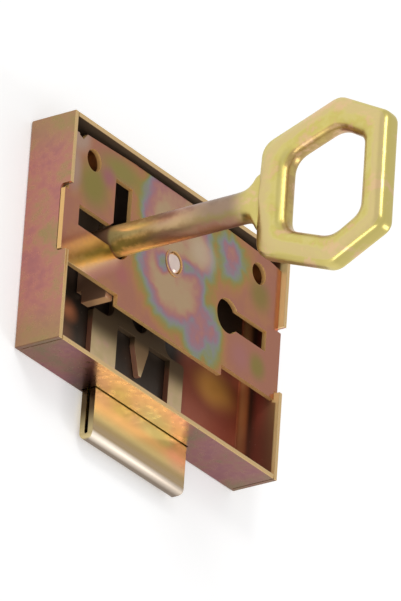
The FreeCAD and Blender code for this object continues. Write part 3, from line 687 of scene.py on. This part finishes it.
def finish_cover():
    """Film colours run in rings round a blob in the middle of the plate, with loose patches
    outside it. A golden streak, a painted reflection of the key's shaft, lies below the left
    keyhole. Punched edges are rough gold."""
    made = Finish("zinc_cover")
    fine = made.clouds(**COVER_FINE)
    plate = made.patches(made.colours(film_value(made, fine), FILM_STOPS), COVER_PATCHES)
    # a painted reflection of the key's shaft, in gold tones
    across = made.slant(SHAFT_REFLECTION_DIRECTION, SHAFT_REFLECTION_START)
    shaft_reflection = made.colours(made.ramp_straight(across, *SHAFT_REFLECTION_REACH), SHAFT_REFLECTION_STOPS)
    shaft_reflection_mask = made.times(
        made.band(across, *SHAFT_REFLECTION_BAND),
        made.ramp(made.x, *SHAFT_REFLECTION_BESIDE_SHAFT),
        made.ramp(made.y, *SHAFT_REFLECTION_BELOW_SLOT),
        SHAFT_REFLECTION_SHARE,
    )
    plate = made.mix(shaft_reflection_mask, plate, shaft_reflection)
    cut = made.cut_edges()
    made.set(Base_Color=made.lay(plate, COVER_CUT_TONE, cut))
    rough = made.sway(fine, *COVER_ROUGHNESS)
    made.set(Roughness=made.calc("ADD", rough, made.times(cut, CUT_ROUGHER)))
    made.set(Metallic=made.calc("SUBTRACT", 1.0, made.times(cut, CUT_DULL)))
    made.set(Normal=made.relief(*COVER_DENTS))
    return made.material


# %% [markdown]
# The bolt is one folded sheet with two lives: the head outside the case is bright, and its
# fold carries a pale painted highlight, while the tail inside is dull. One finish does both,
# because the sheet is one piece: it works out both colours and blends them where the bottom
# wall hides it.

# %% Tones of the bolt
HEAD_STOPS = [(0.32, (204, 190, 134)), (0.50, (200, 196, 118)), (0.68, (196, 200, 112))]
HEAD_LEFT_SWEEPS = [("x", -6.0, -13.0, 0.8, (208, 184, 134))]
HEAD_PATCHES = [
    ((4.0, -25.0, 0.0), 7.0, 1.0, FLAT, 0.85, (196, 212, 140)),
    ((12.5, -23.5, 0.0), 4.0, 0.5, FLAT, 0.6, (230, 176, 128)),
]
HEAD_WALL_SWEEPS = [("y", -24.4, -23.4, 0.7, (206, 194, 106))]
HEAD_MIDDLE = (226, 204, 134)
HEAD_MIDDLE_SWEEPS = [("x", 7.0, 12.0, 1.0, (232, 194, 142))]
HEAD_MIDDLE_Y = (-25.2, -27.2)
HEAD_LOW_SWEEPS = [
    ("y", -28.9, -30.6, 0.95, (184, 158, 108)),
    ("y", -30.4, -31.6, 0.95, (182, 158, 122)),
]
# painted highlight on the fold, from the left to the right
NOSE_HIGHLIGHT_STOPS = [(0.0, (255, 243, 226)), (0.5, (236, 221, 204)), (1.0, (208, 193, 176))]
NOSE_X = (-13.0, 13.0)
NOSE_Y = (-32.1, -32.8)
# a painted dark reflection along the fold's under side
NOSE_UNDER_Y = (-32.0, -32.8)
NOSE_UNDER_Z = (3.7, 2.7)
NOSE_UNDER_REFLECTION_TONE = (134, 118, 102)
NOSE_UNDER_REFLECTION_SHARE = 0.95
# the head's side faces: painted shade, turning to painted light from the wall to the nose
FLANK_FACING = (0.5, 0.8)
FLANK_SHADE = (96, 78, 54)
FLANK_LIGHT_SWEEPS = [("y", -27.0, -32.8, 1.0, (206, 188, 138))]
TAIL_STOPS = [(0.3, (212, 190, 140)), (0.6, (226, 200, 156)), (0.75, (232, 194, 168))]
TAIL_SHADED = (130, 108, 80)
TAIL_LIT_Y = (-8.6, -12.8)
TONGUE_X = (-1.5, 3.6, 0.3)
TONGUE_ROOT_Y = (-7.0, -9.0)
TONGUE_TIP_Y = (-15.0, -12.0)
TONGUE_TONE = (184, 150, 110)
WINDOW_EDGE_X = (-1.6, 1.6, 0.4)
WINDOW_EDGE_Y = (-7.5, -10.0)
WINDOW_EDGE_TONE = (190, 130, 102)
TONGUE_EDGE_TONE = (255, 190, 154)
HEAD_TO_TAIL_Y = (-23.0, -19.5)
BOLT_ROUGHNESS = 0.26
FOLD_AND_TAIL_ROUGHER = 0.24
TAIL_DULL = 0.5
HEAD_SLOW = {"size": 6.0, "bend": 0.4, "seed": 7.0}
HEAD_FINE = {"size": 1.2, "detail": 3.0, "seed": 8.0}
HEAD_MOTTLE = 0.05
TAIL_CLOUDS = {"size": 3.0, "seed": 3.0}
BOLT_DENTS = (0.8, 0.004)


# %% Finish of the bolt
def finish_head(made, fold):
    """The head: tones one after the other from the wall down to the fold's painted highlight,
    then the fold's under side with a painted dark reflection, and the sheet's side faces in
    painted shade."""
    slow = made.clouds(**HEAD_SLOW)
    value = made.mottle(slow, made.clouds(**HEAD_FINE), HEAD_MOTTLE)
    head = made.sweeps(made.colours(value, HEAD_STOPS), HEAD_LEFT_SWEEPS)
    head = made.patches(head, HEAD_PATCHES)
    head = made.sweeps(head, HEAD_WALL_SWEEPS)
    middle = made.sweeps(tint(*HEAD_MIDDLE), HEAD_MIDDLE_SWEEPS)
    head = made.mix(made.ramp(made.y, *HEAD_MIDDLE_Y), head, middle)
    head = made.sweeps(head, HEAD_LOW_SWEEPS)
    # a painted highlight along the fold, palest at the left
    highlight_and_roughness = made.colours(made.ramp_straight(made.x, *NOSE_X), NOSE_HIGHLIGHT_STOPS)
    head = made.mix(fold, head, highlight_and_roughness)
    # a painted dark reflection under the fold
    under_reflection = made.times(made.ramp(made.z, *NOSE_UNDER_Z), made.ramp(made.y, *NOSE_UNDER_Y))
    head = made.lay(head, NOSE_UNDER_REFLECTION_TONE, under_reflection, NOSE_UNDER_REFLECTION_SHARE)
    # the side faces in painted shade, lighter towards the nose as painted light
    flank = made.sweeps(tint(*FLANK_SHADE), FLANK_LIGHT_SWEEPS)
    return made.mix(made.ramp(made.facing(0), *FLANK_FACING), head, flank)


def finish_tail(made):
    """The tail: lit in the window's zone, shaded under the cover plate, with a browner
    tongue and pink cut edges."""
    dull = made.colours(made.clouds(**TAIL_CLOUDS), TAIL_STOPS)
    tail = made.mix(made.ramp(made.y, *TAIL_LIT_Y), tint(*TAIL_SHADED), dull)
    tongue = made.times(
        made.band(made.x, *TONGUE_X),
        made.ramp(made.y, *TONGUE_ROOT_Y),
        made.ramp(made.y, *TONGUE_TIP_Y),
    )
    tail = made.lay(tail, TONGUE_TONE, tongue)
    edges = made.lay(
        tint(*WINDOW_EDGE_TONE), TONGUE_EDGE_TONE, made.band(made.x, *WINDOW_EDGE_X)
    )
    near_edges = made.times(made.cut_edges(), made.ramp(made.y, *WINDOW_EDGE_Y))
    return made.mix(near_edges, tail, edges)


def finish_bolt():
    """The bolt's head goes from orange gold through yellow green to pink, and its folded nose
    has a pale painted highlight. The tail is duller, with painted shade where the cover plate
    shades it."""
    made = Finish("zinc_bolt")
    fold = made.ramp(made.y, *NOSE_Y)
    inner = made.ramp(made.y, *HEAD_TO_TAIL_Y)
    made.set(Base_Color=made.mix(inner, finish_head(made, fold), finish_tail(made)))
    # rougher on the tail, and on the fold where the painted highlight lies
    highlight_and_roughness = made.times(made.calc("MAXIMUM", inner, fold), FOLD_AND_TAIL_ROUGHER)
    made.set(Roughness=made.calc("ADD", BOLT_ROUGHNESS, highlight_and_roughness))
    made.set(Metallic=made.calc("SUBTRACT", 1.0, made.times(inner, TAIL_DULL)))
    made.set(Normal=made.relief(*BOLT_DENTS))
    return made.material


# %% [markdown]
# The key was dipped in the same bath. Its colours run along the shaft in stripes, film
# colours with painted highlights and reflections, and round the bow's section. The shaft is
# straight, so a distance across its axis can carry the stripes; the bow turns corners, so it
# carries an attribute that goes round its section.

# %% Where the key stands
KEY_JOINT = "key_turn"
key_axis = next(joint["pos_m"] for joint in frame["joints"] if joint["name"] == KEY_JOINT)
KEY_X, KEY_Y = (value / MM for value in key_axis[:2])
print("key axis at", round(KEY_X, 3), round(KEY_Y, 3), "mm")

# %% Tones of the key
# stripes of film colour and painted highlights and reflections round the shaft, from its lower
# to its upper side: at its foot, middle and end
SHANK_NEAR = [
    (0.04, (255, 220, 130)),
    (0.14, (255, 210, 118)),
    (0.26, (140, 130, 60)),
    (0.42, (136, 122, 62)),
    (0.52, (190, 156, 90)),
    (0.68, (255, 236, 160)),
    (0.90, (255, 222, 150)),
    (1.00, (226, 180, 110)),
]
SHANK_MID = [
    (0.02, (226, 160, 104)),
    (0.14, (170, 112, 84)),
    (0.28, (194, 150, 120)),
    (0.44, (158, 126, 90)),
    (0.60, (206, 178, 132)),
    (0.80, (200, 162, 134)),
    (0.97, (160, 112, 92)),
]
SHANK_FAR = [
    (0.02, (150, 104, 72)),
    (0.12, (148, 102, 78)),
    (0.26, (164, 124, 106)),
    (0.42, (148, 136, 80)),
    (0.60, (154, 130, 110)),
    (0.82, (160, 136, 116)),
    (0.97, (142, 118, 100)),
]
# round the bow's section: the outer wall, the outer ridge, the inner ridge, the hole's wall
BOW_STOPS = [
    (0.00, (206, 190, 112)),
    (0.18, (214, 198, 130)),
    (0.36, (210, 186, 134)),
    (0.52, (214, 200, 126)),
    (0.66, (206, 192, 108)),
    (0.84, (206, 186, 106)),
    (1.00, (176, 146, 96)),
]
SHANK_UPWARDS = (-0.523, 0.853, 0.0)
SHANK_RADIUS = 3.0
SHANK_MIDDLE = SHANK_UPWARDS[0] * KEY_X + SHANK_UPWARDS[1] * KEY_Y
# heights where one part's colours give way to the next part's
NEAR_TO_MID_Z = (14.0, 22.0)
MID_TO_FAR_Z = (24.0, 33.0)
SHANK_TO_BOW_Z = (36.0, 41.0)
BIT_Z = (9.6, 8.6)
BOW_UNEVEN = 0.12
BOW_PINK = (226, 184, 150)
BOW_PINK_CLOUDS = (0.52, 0.7)
BOW_PINK_SHARE = 0.6
STRIPE_UNEVEN = 0.5
BIT_FACING = (0.6, 0.9)
BIT_TONE = (194, 148, 116)
BIT_END_TONE = (244, 196, 146)
BIT_DULL = 0.7
FOOT_DULL = (12.0, 24.0, 0.55, 0.0)
KEY_ROUGHNESS = (30.0, 42.0, 0.36, 0.32)
KEY_SLOW = {"size": 5.0, "bend": 0.5, "seed": 11.0}
KEY_FINE = {"size": 0.8, "detail": 3.0, "seed": 12.0}
KEY_MOTTLE = 0.06
KEY_DENTS = (0.7, 0.012)


# %% Finish of the key
def finish_key():
    """The key: a pale yellow bow with pink and green tints, a shaft whose film colours and
    painted highlights and reflections run along it in stripes, and a dull bit."""
    made = Finish("zinc_key")
    slow = made.clouds(**KEY_SLOW)
    mottled = made.mottle(slow, made.clouds(**KEY_FINE), KEY_MOTTLE)
    section_place = made.add("ShaderNodeAttribute", attribute_name="around").outputs["Fac"]
    bow = made.colours(made.mottle(section_place, mottled, BOW_UNEVEN), BOW_STOPS)
    bow = made.lay(bow, BOW_PINK, made.ramp(mottled, *BOW_PINK_CLOUDS), BOW_PINK_SHARE)
    # the shaft's stripes hold painted highlights and reflections with the film colours
    upwards = made.slant(SHANK_UPWARDS, SHANK_MIDDLE)
    uneven = made.mottle(upwards, mottled, STRIPE_UNEVEN)
    stripe = made.ramp_straight(uneven, -SHANK_RADIUS, SHANK_RADIUS)
    near, middle, far = (
        made.colours(stripe, stops) for stops in (SHANK_NEAR, SHANK_MID, SHANK_FAR)
    )
    shank = made.mix(made.ramp(made.z, *NEAR_TO_MID_Z), near, middle)
    shank = made.mix(made.ramp(made.z, *MID_TO_FAR_Z), shank, far)
    body = made.mix(made.ramp(made.z, *SHANK_TO_BOW_Z), shank, bow)
    in_case = made.ramp(made.z, *BIT_Z)
    bit = made.lay(tint(*BIT_TONE), BIT_END_TONE, made.ramp(made.facing(1), *BIT_FACING))
    made.set(Base_Color=made.mix(in_case, body, bit))
    foot = made.ramp(made.z, *FOOT_DULL)
    dull = made.calc("MAXIMUM", made.times(in_case, BIT_DULL), foot)
    made.set(Metallic=made.calc("SUBTRACT", 1.0, dull))
    made.set(Roughness=made.ramp(made.z, *KEY_ROUGHNESS))
    made.set(Normal=made.relief(*KEY_DENTS))
    return made.material


# %% [markdown]
# The small pieces are seen through holes only: the pillar's bright end, the spring, and the
# tubes for the fixing screws. Two near colours in clouds are enough for each.

# %% Small pieces, and dressing the nodes
# node: name of the finish, two colours, roughness
SMALL_PIECES = {
    "pillar": ("pillar_steel", (214, 188, 186), (232, 214, 196), 0.3),
    "detent_spring": ("spring_steel", (120, 118, 116), (146, 140, 132), 0.3),
    "screw_tube_left": ("zinc_screw_tube_left", (196, 160, 104), (170, 122, 96), 0.35),
    "screw_tube_right": ("zinc_screw_tube_right", (196, 160, 104), (170, 122, 96), 0.35),
}
SMALL_CLOUDS = {"size": 1.4, "detail": 3.0}
SMALL_DENTS = (0.5, 0.006)


def finish_plain(name, colour, other, roughness):
    """A metal in two near colours, for the small pieces."""
    made = Finish(name, roughness=roughness)
    made.set(Base_Color=made.lay(tint(*colour), other, made.clouds(**SMALL_CLOUDS)))
    made.set(Normal=made.relief(*SMALL_DENTS))
    return made.material


def dress(node, material):
    """Put one finish on all of a node's slots."""
    mesh = nodes[node].data
    if not mesh.materials:
        mesh.materials.append(material)
    for index in range(len(mesh.materials)):
        mesh.materials[index] = material
    print(node, "wears", material.name)


key_finish = finish_key()
dress("case", finish_case())
dress("cover_plate", finish_cover())
dress("bolt", finish_bolt())
dress("key", key_finish)
for small_node, small_values in SMALL_PIECES.items():
    dress(small_node, finish_plain(*small_values))

# %% [markdown]
# The key's bow is a cast ring. Its section is the same all round: an outer bevel, a flat,
# and an inner bevel, both softened. One way is to bevel an extruded shape; here it is a
# surface instead. Eight closed loops run round the ring, four on each side, and the
# section passes through them.

# %% Loops and surfaces
# a corner's curve takes at most this share of a run
RUN_SHARE = 0.48


def bend_corners(points, reach, steps):
    """Rounds a closed chain of points. Each corner becomes a curve with three controls:
    a start one reach before the corner, the corner, and an end one reach after it. At t
    it is start times (1 - t) squared, plus corner times 2 t (1 - t), plus end times t
    squared. The chain runs along the last axis but one; leading axes are other chains."""
    before = np.roll(points, 1, axis=-2)
    after = np.roll(points, -1, axis=-2)
    to_before = before - points
    to_after = after - points
    length_before = np.linalg.norm(to_before, axis=-1, keepdims=True)
    length_after = np.linalg.norm(to_after, axis=-1, keepdims=True)
    reach = np.asarray(reach, float)[..., None]
    start = points + to_before / length_before * np.minimum(reach, length_before * RUN_SHARE)
    end = points + to_after / length_after * np.minimum(reach, length_after * RUN_SHARE)
    t = np.linspace(0.0, 1.0, steps)[:, None]
    curve = (
        start[..., None, :] * (1 - t) ** 2
        + points[..., None, :] * (2 * t * (1 - t))
        + end[..., None, :] * t ** 2
    )
    return curve.reshape(*points.shape[:-2], -1, points.shape[-1])


def fill_between(chain, steps):
    """Adds even points on every run of a closed chain."""
    after = np.roll(chain, -1, axis=0)
    t = np.linspace(0.0, 1.0, steps, endpoint=False)[:, None]
    return (chain[:, None, :] * (1 - t) + after[:, None, :] * t).reshape(-1, chain.shape[-1])


def closed_grid(rows, columns):
    """Quads of a grid that closes both ways, as a tube bent into a ring does."""
    r = np.arange(rows)[:, None]
    c = np.arange(columns)[None, :]
    r_next = (r + 1) % rows
    c_next = (c + 1) % columns
    near = r * columns
    far = r_next * columns
    quads = np.stack([near + c, far + c, far + c_next, near + c_next], axis=-1)
    return quads.reshape(-1, 4)


def tube_grid(rows, columns):
    """Quads of a grid that closes along its columns, with a fan at each open end.
    The two end points follow the grid's own points."""
    r = np.arange(rows - 1)[:, None]
    c = np.arange(columns)[None, :]
    c_next = (c + 1) % columns
    near = r * columns
    far = near + columns
    quads = np.stack([near + c, far + c, far + c_next, near + c_next], axis=-1).reshape(-1, 4)
    ring = np.arange(columns)
    ring_next = (ring + 1) % columns
    first = rows * columns
    low = np.stack([np.full(columns, first), ring, ring_next], axis=-1)
    top = (rows - 1) * columns
    high = np.stack([np.full(columns, first + 1), top + ring_next, top + ring], axis=-1)
    return quads.tolist() + low.tolist() + high.tolist()


def signed_volume(points, faces):
    """Sum of the volumes between the origin and each face: positive if faces point out.
    Each triangle gives a sixth of its corners' triple product."""
    total = 0.0
    for count in {len(face) for face in faces}:
        group = np.array([face for face in faces if len(face) == count])
        first = points[group[:, 0]]
        for k in range(1, count - 1):
            crossed = np.cross(points[group[:, k]], points[group[:, k + 1]])
            total += float((first * crossed).sum()) / 6.0
    return total


def new_piece(name, points, faces, material, body):
    """A mesh piece from points in millimetres, smooth shaded, riding on a body."""
    points = np.asarray(points, float).reshape(-1, 3)
    faces = [list(face) for face in faces]
    if signed_volume(points, faces) < 0:
        faces = [face[::-1] for face in faces]
    mesh = bpy.data.meshes.new(name)
    mesh.from_pydata((points * MM).tolist(), [], faces)
    mesh.polygons.foreach_set("use_smooth", [True] * len(faces))
    mesh.materials.append(material)
    mesh.update()
    piece = bpy.data.objects.new(name, mesh)
    bpy.context.scene.collection.objects.link(piece)
    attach(piece, body)
    print(name, len(points), "points", len(faces), "faces")
    return piece


# %% The key's bow
key_low, key_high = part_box("key")
print("key from", list(key_low), "to", list(key_high))
KEY_PLACE = [KEY_X, KEY_Y, 0.0]
BOW_HALF_THICK = 2.5
BOW_SIDE_HALF = 1.55
BOW_HOLE_HALF = 1.25
SECTION_REACH = 0.9
SECTION_STEPS = 5
# each loop's place between the outer wall (0) and the hole's wall (1), for the finish
SECTION_TONES = [0.0, 0.35, 0.65, 1.0, 1.0, 0.65, 0.35, 0.0]
LOOP_STEPS = 9
RUN_STEPS = 3

# corners of one half, from the near side's middle to the far side's middle
BOW_OUTER = [(0.0, 41.8), (11.3, 42.2), (17.6, 59.2), (11.6, 70.8), (0.0, 70.8)]
BOW_RIDGE_OUT = [(0.0, 42.5), (9.9, 44.8), (15.9, 59.2), (10.7, 69.3), (0.0, 69.3)]
BOW_RIDGE_IN = [(0.0, 46.9), (8.6, 46.9), (13.1, 59.2), (8.9, 66.8), (0.0, 66.8)]
BOW_HOLE = [(0.0, 48.5), (7.4, 48.5), (11.3, 59.2), (7.7, 65.2), (0.0, 65.2)]
REACH_OUTER = [0.1, 2.4, 1.6, 1.6, 0.1]
REACH_HOLE = [0.1, 3.0, 2.6, 2.0, 0.1]


def whole_loop(half_corners):
    """The loop's corners all round: one half, then its mirror image."""
    first = np.array(half_corners, float)
    second = first[-2:0:-1] * [-1.0, 1.0]
    return np.concatenate([first, second])


def round_reaches(half_reaches):
    """The corners' reaches all round, in the order of whole_loop."""
    return np.array(half_reaches + half_reaches[-2:0:-1])


def bow_loop(half_corners, half_reaches, height):
    """A rounded loop of the bow as points (x, y, z) round the key's axis."""
    loop = bend_corners(whole_loop(half_corners), round_reaches(half_reaches), LOOP_STEPS)
    loop = fill_between(loop, RUN_STEPS)
    x = np.full(len(loop), height)
    return np.stack([x, loop[:, 0], loop[:, 1]], axis=-1)


section = [
    bow_loop(BOW_OUTER, REACH_OUTER, BOW_SIDE_HALF),
    bow_loop(BOW_RIDGE_OUT, REACH_OUTER, BOW_HALF_THICK),
    bow_loop(BOW_RIDGE_IN, REACH_HOLE, BOW_HALF_THICK),
    bow_loop(BOW_HOLE, REACH_HOLE, BOW_HOLE_HALF),
    bow_loop(BOW_HOLE, REACH_HOLE, -BOW_HOLE_HALF),
    bow_loop(BOW_RIDGE_IN, REACH_HOLE, -BOW_HALF_THICK),
    bow_loop(BOW_RIDGE_OUT, REACH_OUTER, -BOW_HALF_THICK),
    bow_loop(BOW_OUTER, REACH_OUTER, -BOW_SIDE_HALF),
]
ring = np.stack(section, axis=1)
ring = bend_corners(ring, np.full(len(section), SECTION_REACH), SECTION_STEPS)
ring_rows, ring_columns = ring.shape[:2]
key_bow = new_piece(
    "key_bow", ring + KEY_PLACE, closed_grid(ring_rows, ring_columns), key_finish, "key"
)
section_tones = np.repeat(SECTION_TONES, SECTION_STEPS)
around = key_bow.data.attributes.new("around", "FLOAT", "POINT")
around.data.foreach_set("value", np.tile(section_tones, ring_rows))

# %% [markdown]
# The shank is turned, and its end spreads into the bow. One surface does both: rings of
# points climb along the axis, each with its own half width, half depth and squareness.

# %% The key's shank and neck
SHANK_SIDES = 72
# height, half width along Y, half depth along X, squareness (2 is an ellipse)
SHANK_RINGS = [
    (0.15, 1.8, 1.8, 2.0),
    (0.45, 2.1, 2.1, 2.0),
    (0.93, 2.1, 2.1, 2.0),
    (0.95, 2.2, 2.2, 2.0),
    (0.95, 2.75, 2.75, 2.0),
    (1.20, 3.0, 3.0, 2.0),
    (20.0, 3.0, 3.0, 2.0),
    (36.8, 3.0, 3.0, 2.0),
    (38.2, 3.05, 2.98, 2.0),
    (39.2, 3.25, 2.9, 2.05),
    (40.1, 3.75, 2.8, 2.15),
    (40.9, 4.6, 2.7, 2.3),
    (41.5, 5.7, 2.6, 2.4),
    (42.3, 6.2, 2.5, 2.4),
    (44.0, 5.0, 2.2, 2.4),
]


def squared_ring(height, half_y, half_x, square, sides):
    """Points (x, y, height) with |x / half_x| ^ n + |y / half_y| ^ n = 1, n the squareness."""
    angle = np.arange(sides) * (2 * np.pi / sides)
    cos, sin = np.cos(angle), np.sin(angle)
    power = 2.0 / square
    y = half_y * np.sign(cos) * np.abs(cos) ** power
    x = half_x * np.sign(sin) * np.abs(sin) ** power
    return np.stack([x, y, np.full(sides, height)], axis=-1)


shank_rows = np.array([squared_ring(*row, SHANK_SIDES) for row in SHANK_RINGS])
shank_ends = np.array([[0.0, 0.0, SHANK_RINGS[0][0]], [0.0, 0.0, SHANK_RINGS[-1][0]]])
shank_points = np.concatenate([shank_rows.reshape(-1, 3), shank_ends]) + KEY_PLACE
key_shank = new_piece(
    "key_shank", shank_points, tube_grid(len(SHANK_RINGS), SHANK_SIDES), key_finish, "key"
)

# %% [markdown]
# The bit is the flag on the shank that works the bolt. A file leaves it flat with a step
# at its corner, so it is an outline carried across its thickness, with a small bevel.

# %% The key's bit
# corners as distance from the key's axis along Y, and height
BIT_OUTLINE = [
    (-1.5, 1.15), (-1.5, 8.1), (-11.7, 8.1), (-11.7, 2.35), (-9.2, 2.35), (-9.2, 1.15),
]
BIT_HALF = 1.1
BIT_BEVEL = 0.15
BIT_BEVEL_STEPS = 3


def prism(outline, half_thick):
    """An outline in the Y-Z plane carried across X, both ends closed by one face each."""
    count = len(outline)
    flat = np.array(outline, float)
    side_a = np.insert(flat, 0, -half_thick, axis=1)
    side_b = np.insert(flat, 0, half_thick, axis=1)
    walls = [[i, (i + 1) % count, count + (i + 1) % count, count + i] for i in range(count)]
    ends = [list(range(count))[::-1], list(range(count, 2 * count))]
    return np.concatenate([side_a, side_b]), walls + ends


bit_points, bit_faces = prism(BIT_OUTLINE, BIT_HALF)
key_bit = new_piece("key_bit", bit_points + KEY_PLACE, bit_faces, key_finish, "key")
key_bit.data.polygons.foreach_set("use_smooth", [False] * len(key_bit.data.polygons))
soft = key_bit.modifiers.new("soft_edges", "BEVEL")
soft.width = BIT_BEVEL * MM
soft.segments = BIT_BEVEL_STEPS
for part in (key_bow, key_shank, key_bit):
    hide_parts("key")

# %% [markdown]
# Sheet that has been through a press has no razor edges. The exact solids do, so each gets
# two modifiers: one joins the loose triangles, the next cuts a tiny bevel along every edge
# that turns sharply. The bevel catches the light as the real burnished edge does.

# %% Soft edges on the pressed pieces
EDGE_BEVELS = {"case": 0.10, "cover_plate": 0.14, "bolt": 0.16}
JOIN_WITHIN = 0.001
FLAT_WITHIN = math.radians(0.5)
SHARP_BEYOND = math.radians(40.0)
EDGE_STEPS = 2
for name, width in EDGE_BEVELS.items():
    weld = nodes[name].modifiers.new("join", "WELD")
    weld.merge_threshold = JOIN_WITHIN * MM
    flat = nodes[name].modifiers.new("flats", "DECIMATE")
    flat.decimate_type = "DISSOLVE"
    flat.angle_limit = FLAT_WITHIN
    edge = nodes[name].modifiers.new("edge", "BEVEL")
    edge.width = width * MM
    edge.segments = EDGE_STEPS
    edge.limit_method = "ANGLE"
    edge.angle_limit = SHARP_BEYOND
    print(name, "edges softened by", width, "mm")

# %% [markdown]
# When the key draws the bolt back, the spring's nose drops into the tail's groove and would
# touch its floor. The exact spring stays as it is, and a copy of it stands for it here:
# its loose triangles are merged, and its nose is lifted by a tenth of a millimetre.

# %% The spring, with room under its nose
NOSE_BELOW = 1.6
NOSE_LIFT = 0.1
spring_shape = bmesh.new()
spring_shape.from_mesh(nodes["detent_spring"].data)
bmesh.ops.remove_doubles(spring_shape, verts=spring_shape.verts, dist=JOIN_WITHIN * MM)
spring_mesh = nodes["detent_spring"].data.copy()
spring_shape.to_mesh(spring_mesh)
spring_shape.free()
places = np.empty((len(spring_mesh.vertices), 3))
spring_mesh.vertices.foreach_get("co", places.ravel())
nose = places[:, 2] < NOSE_BELOW * MM
places[nose, 2] += NOSE_LIFT * MM
spring_mesh.vertices.foreach_set("co", places.ravel())
spring_mesh.update()
hairpin = bpy.data.objects.new("hairpin_spring", spring_mesh)
bpy.context.scene.collection.objects.link(hairpin)
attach(hairpin, "frame")
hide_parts("detent_spring")
print("nose points", int(nose.sum()), "of", len(places))
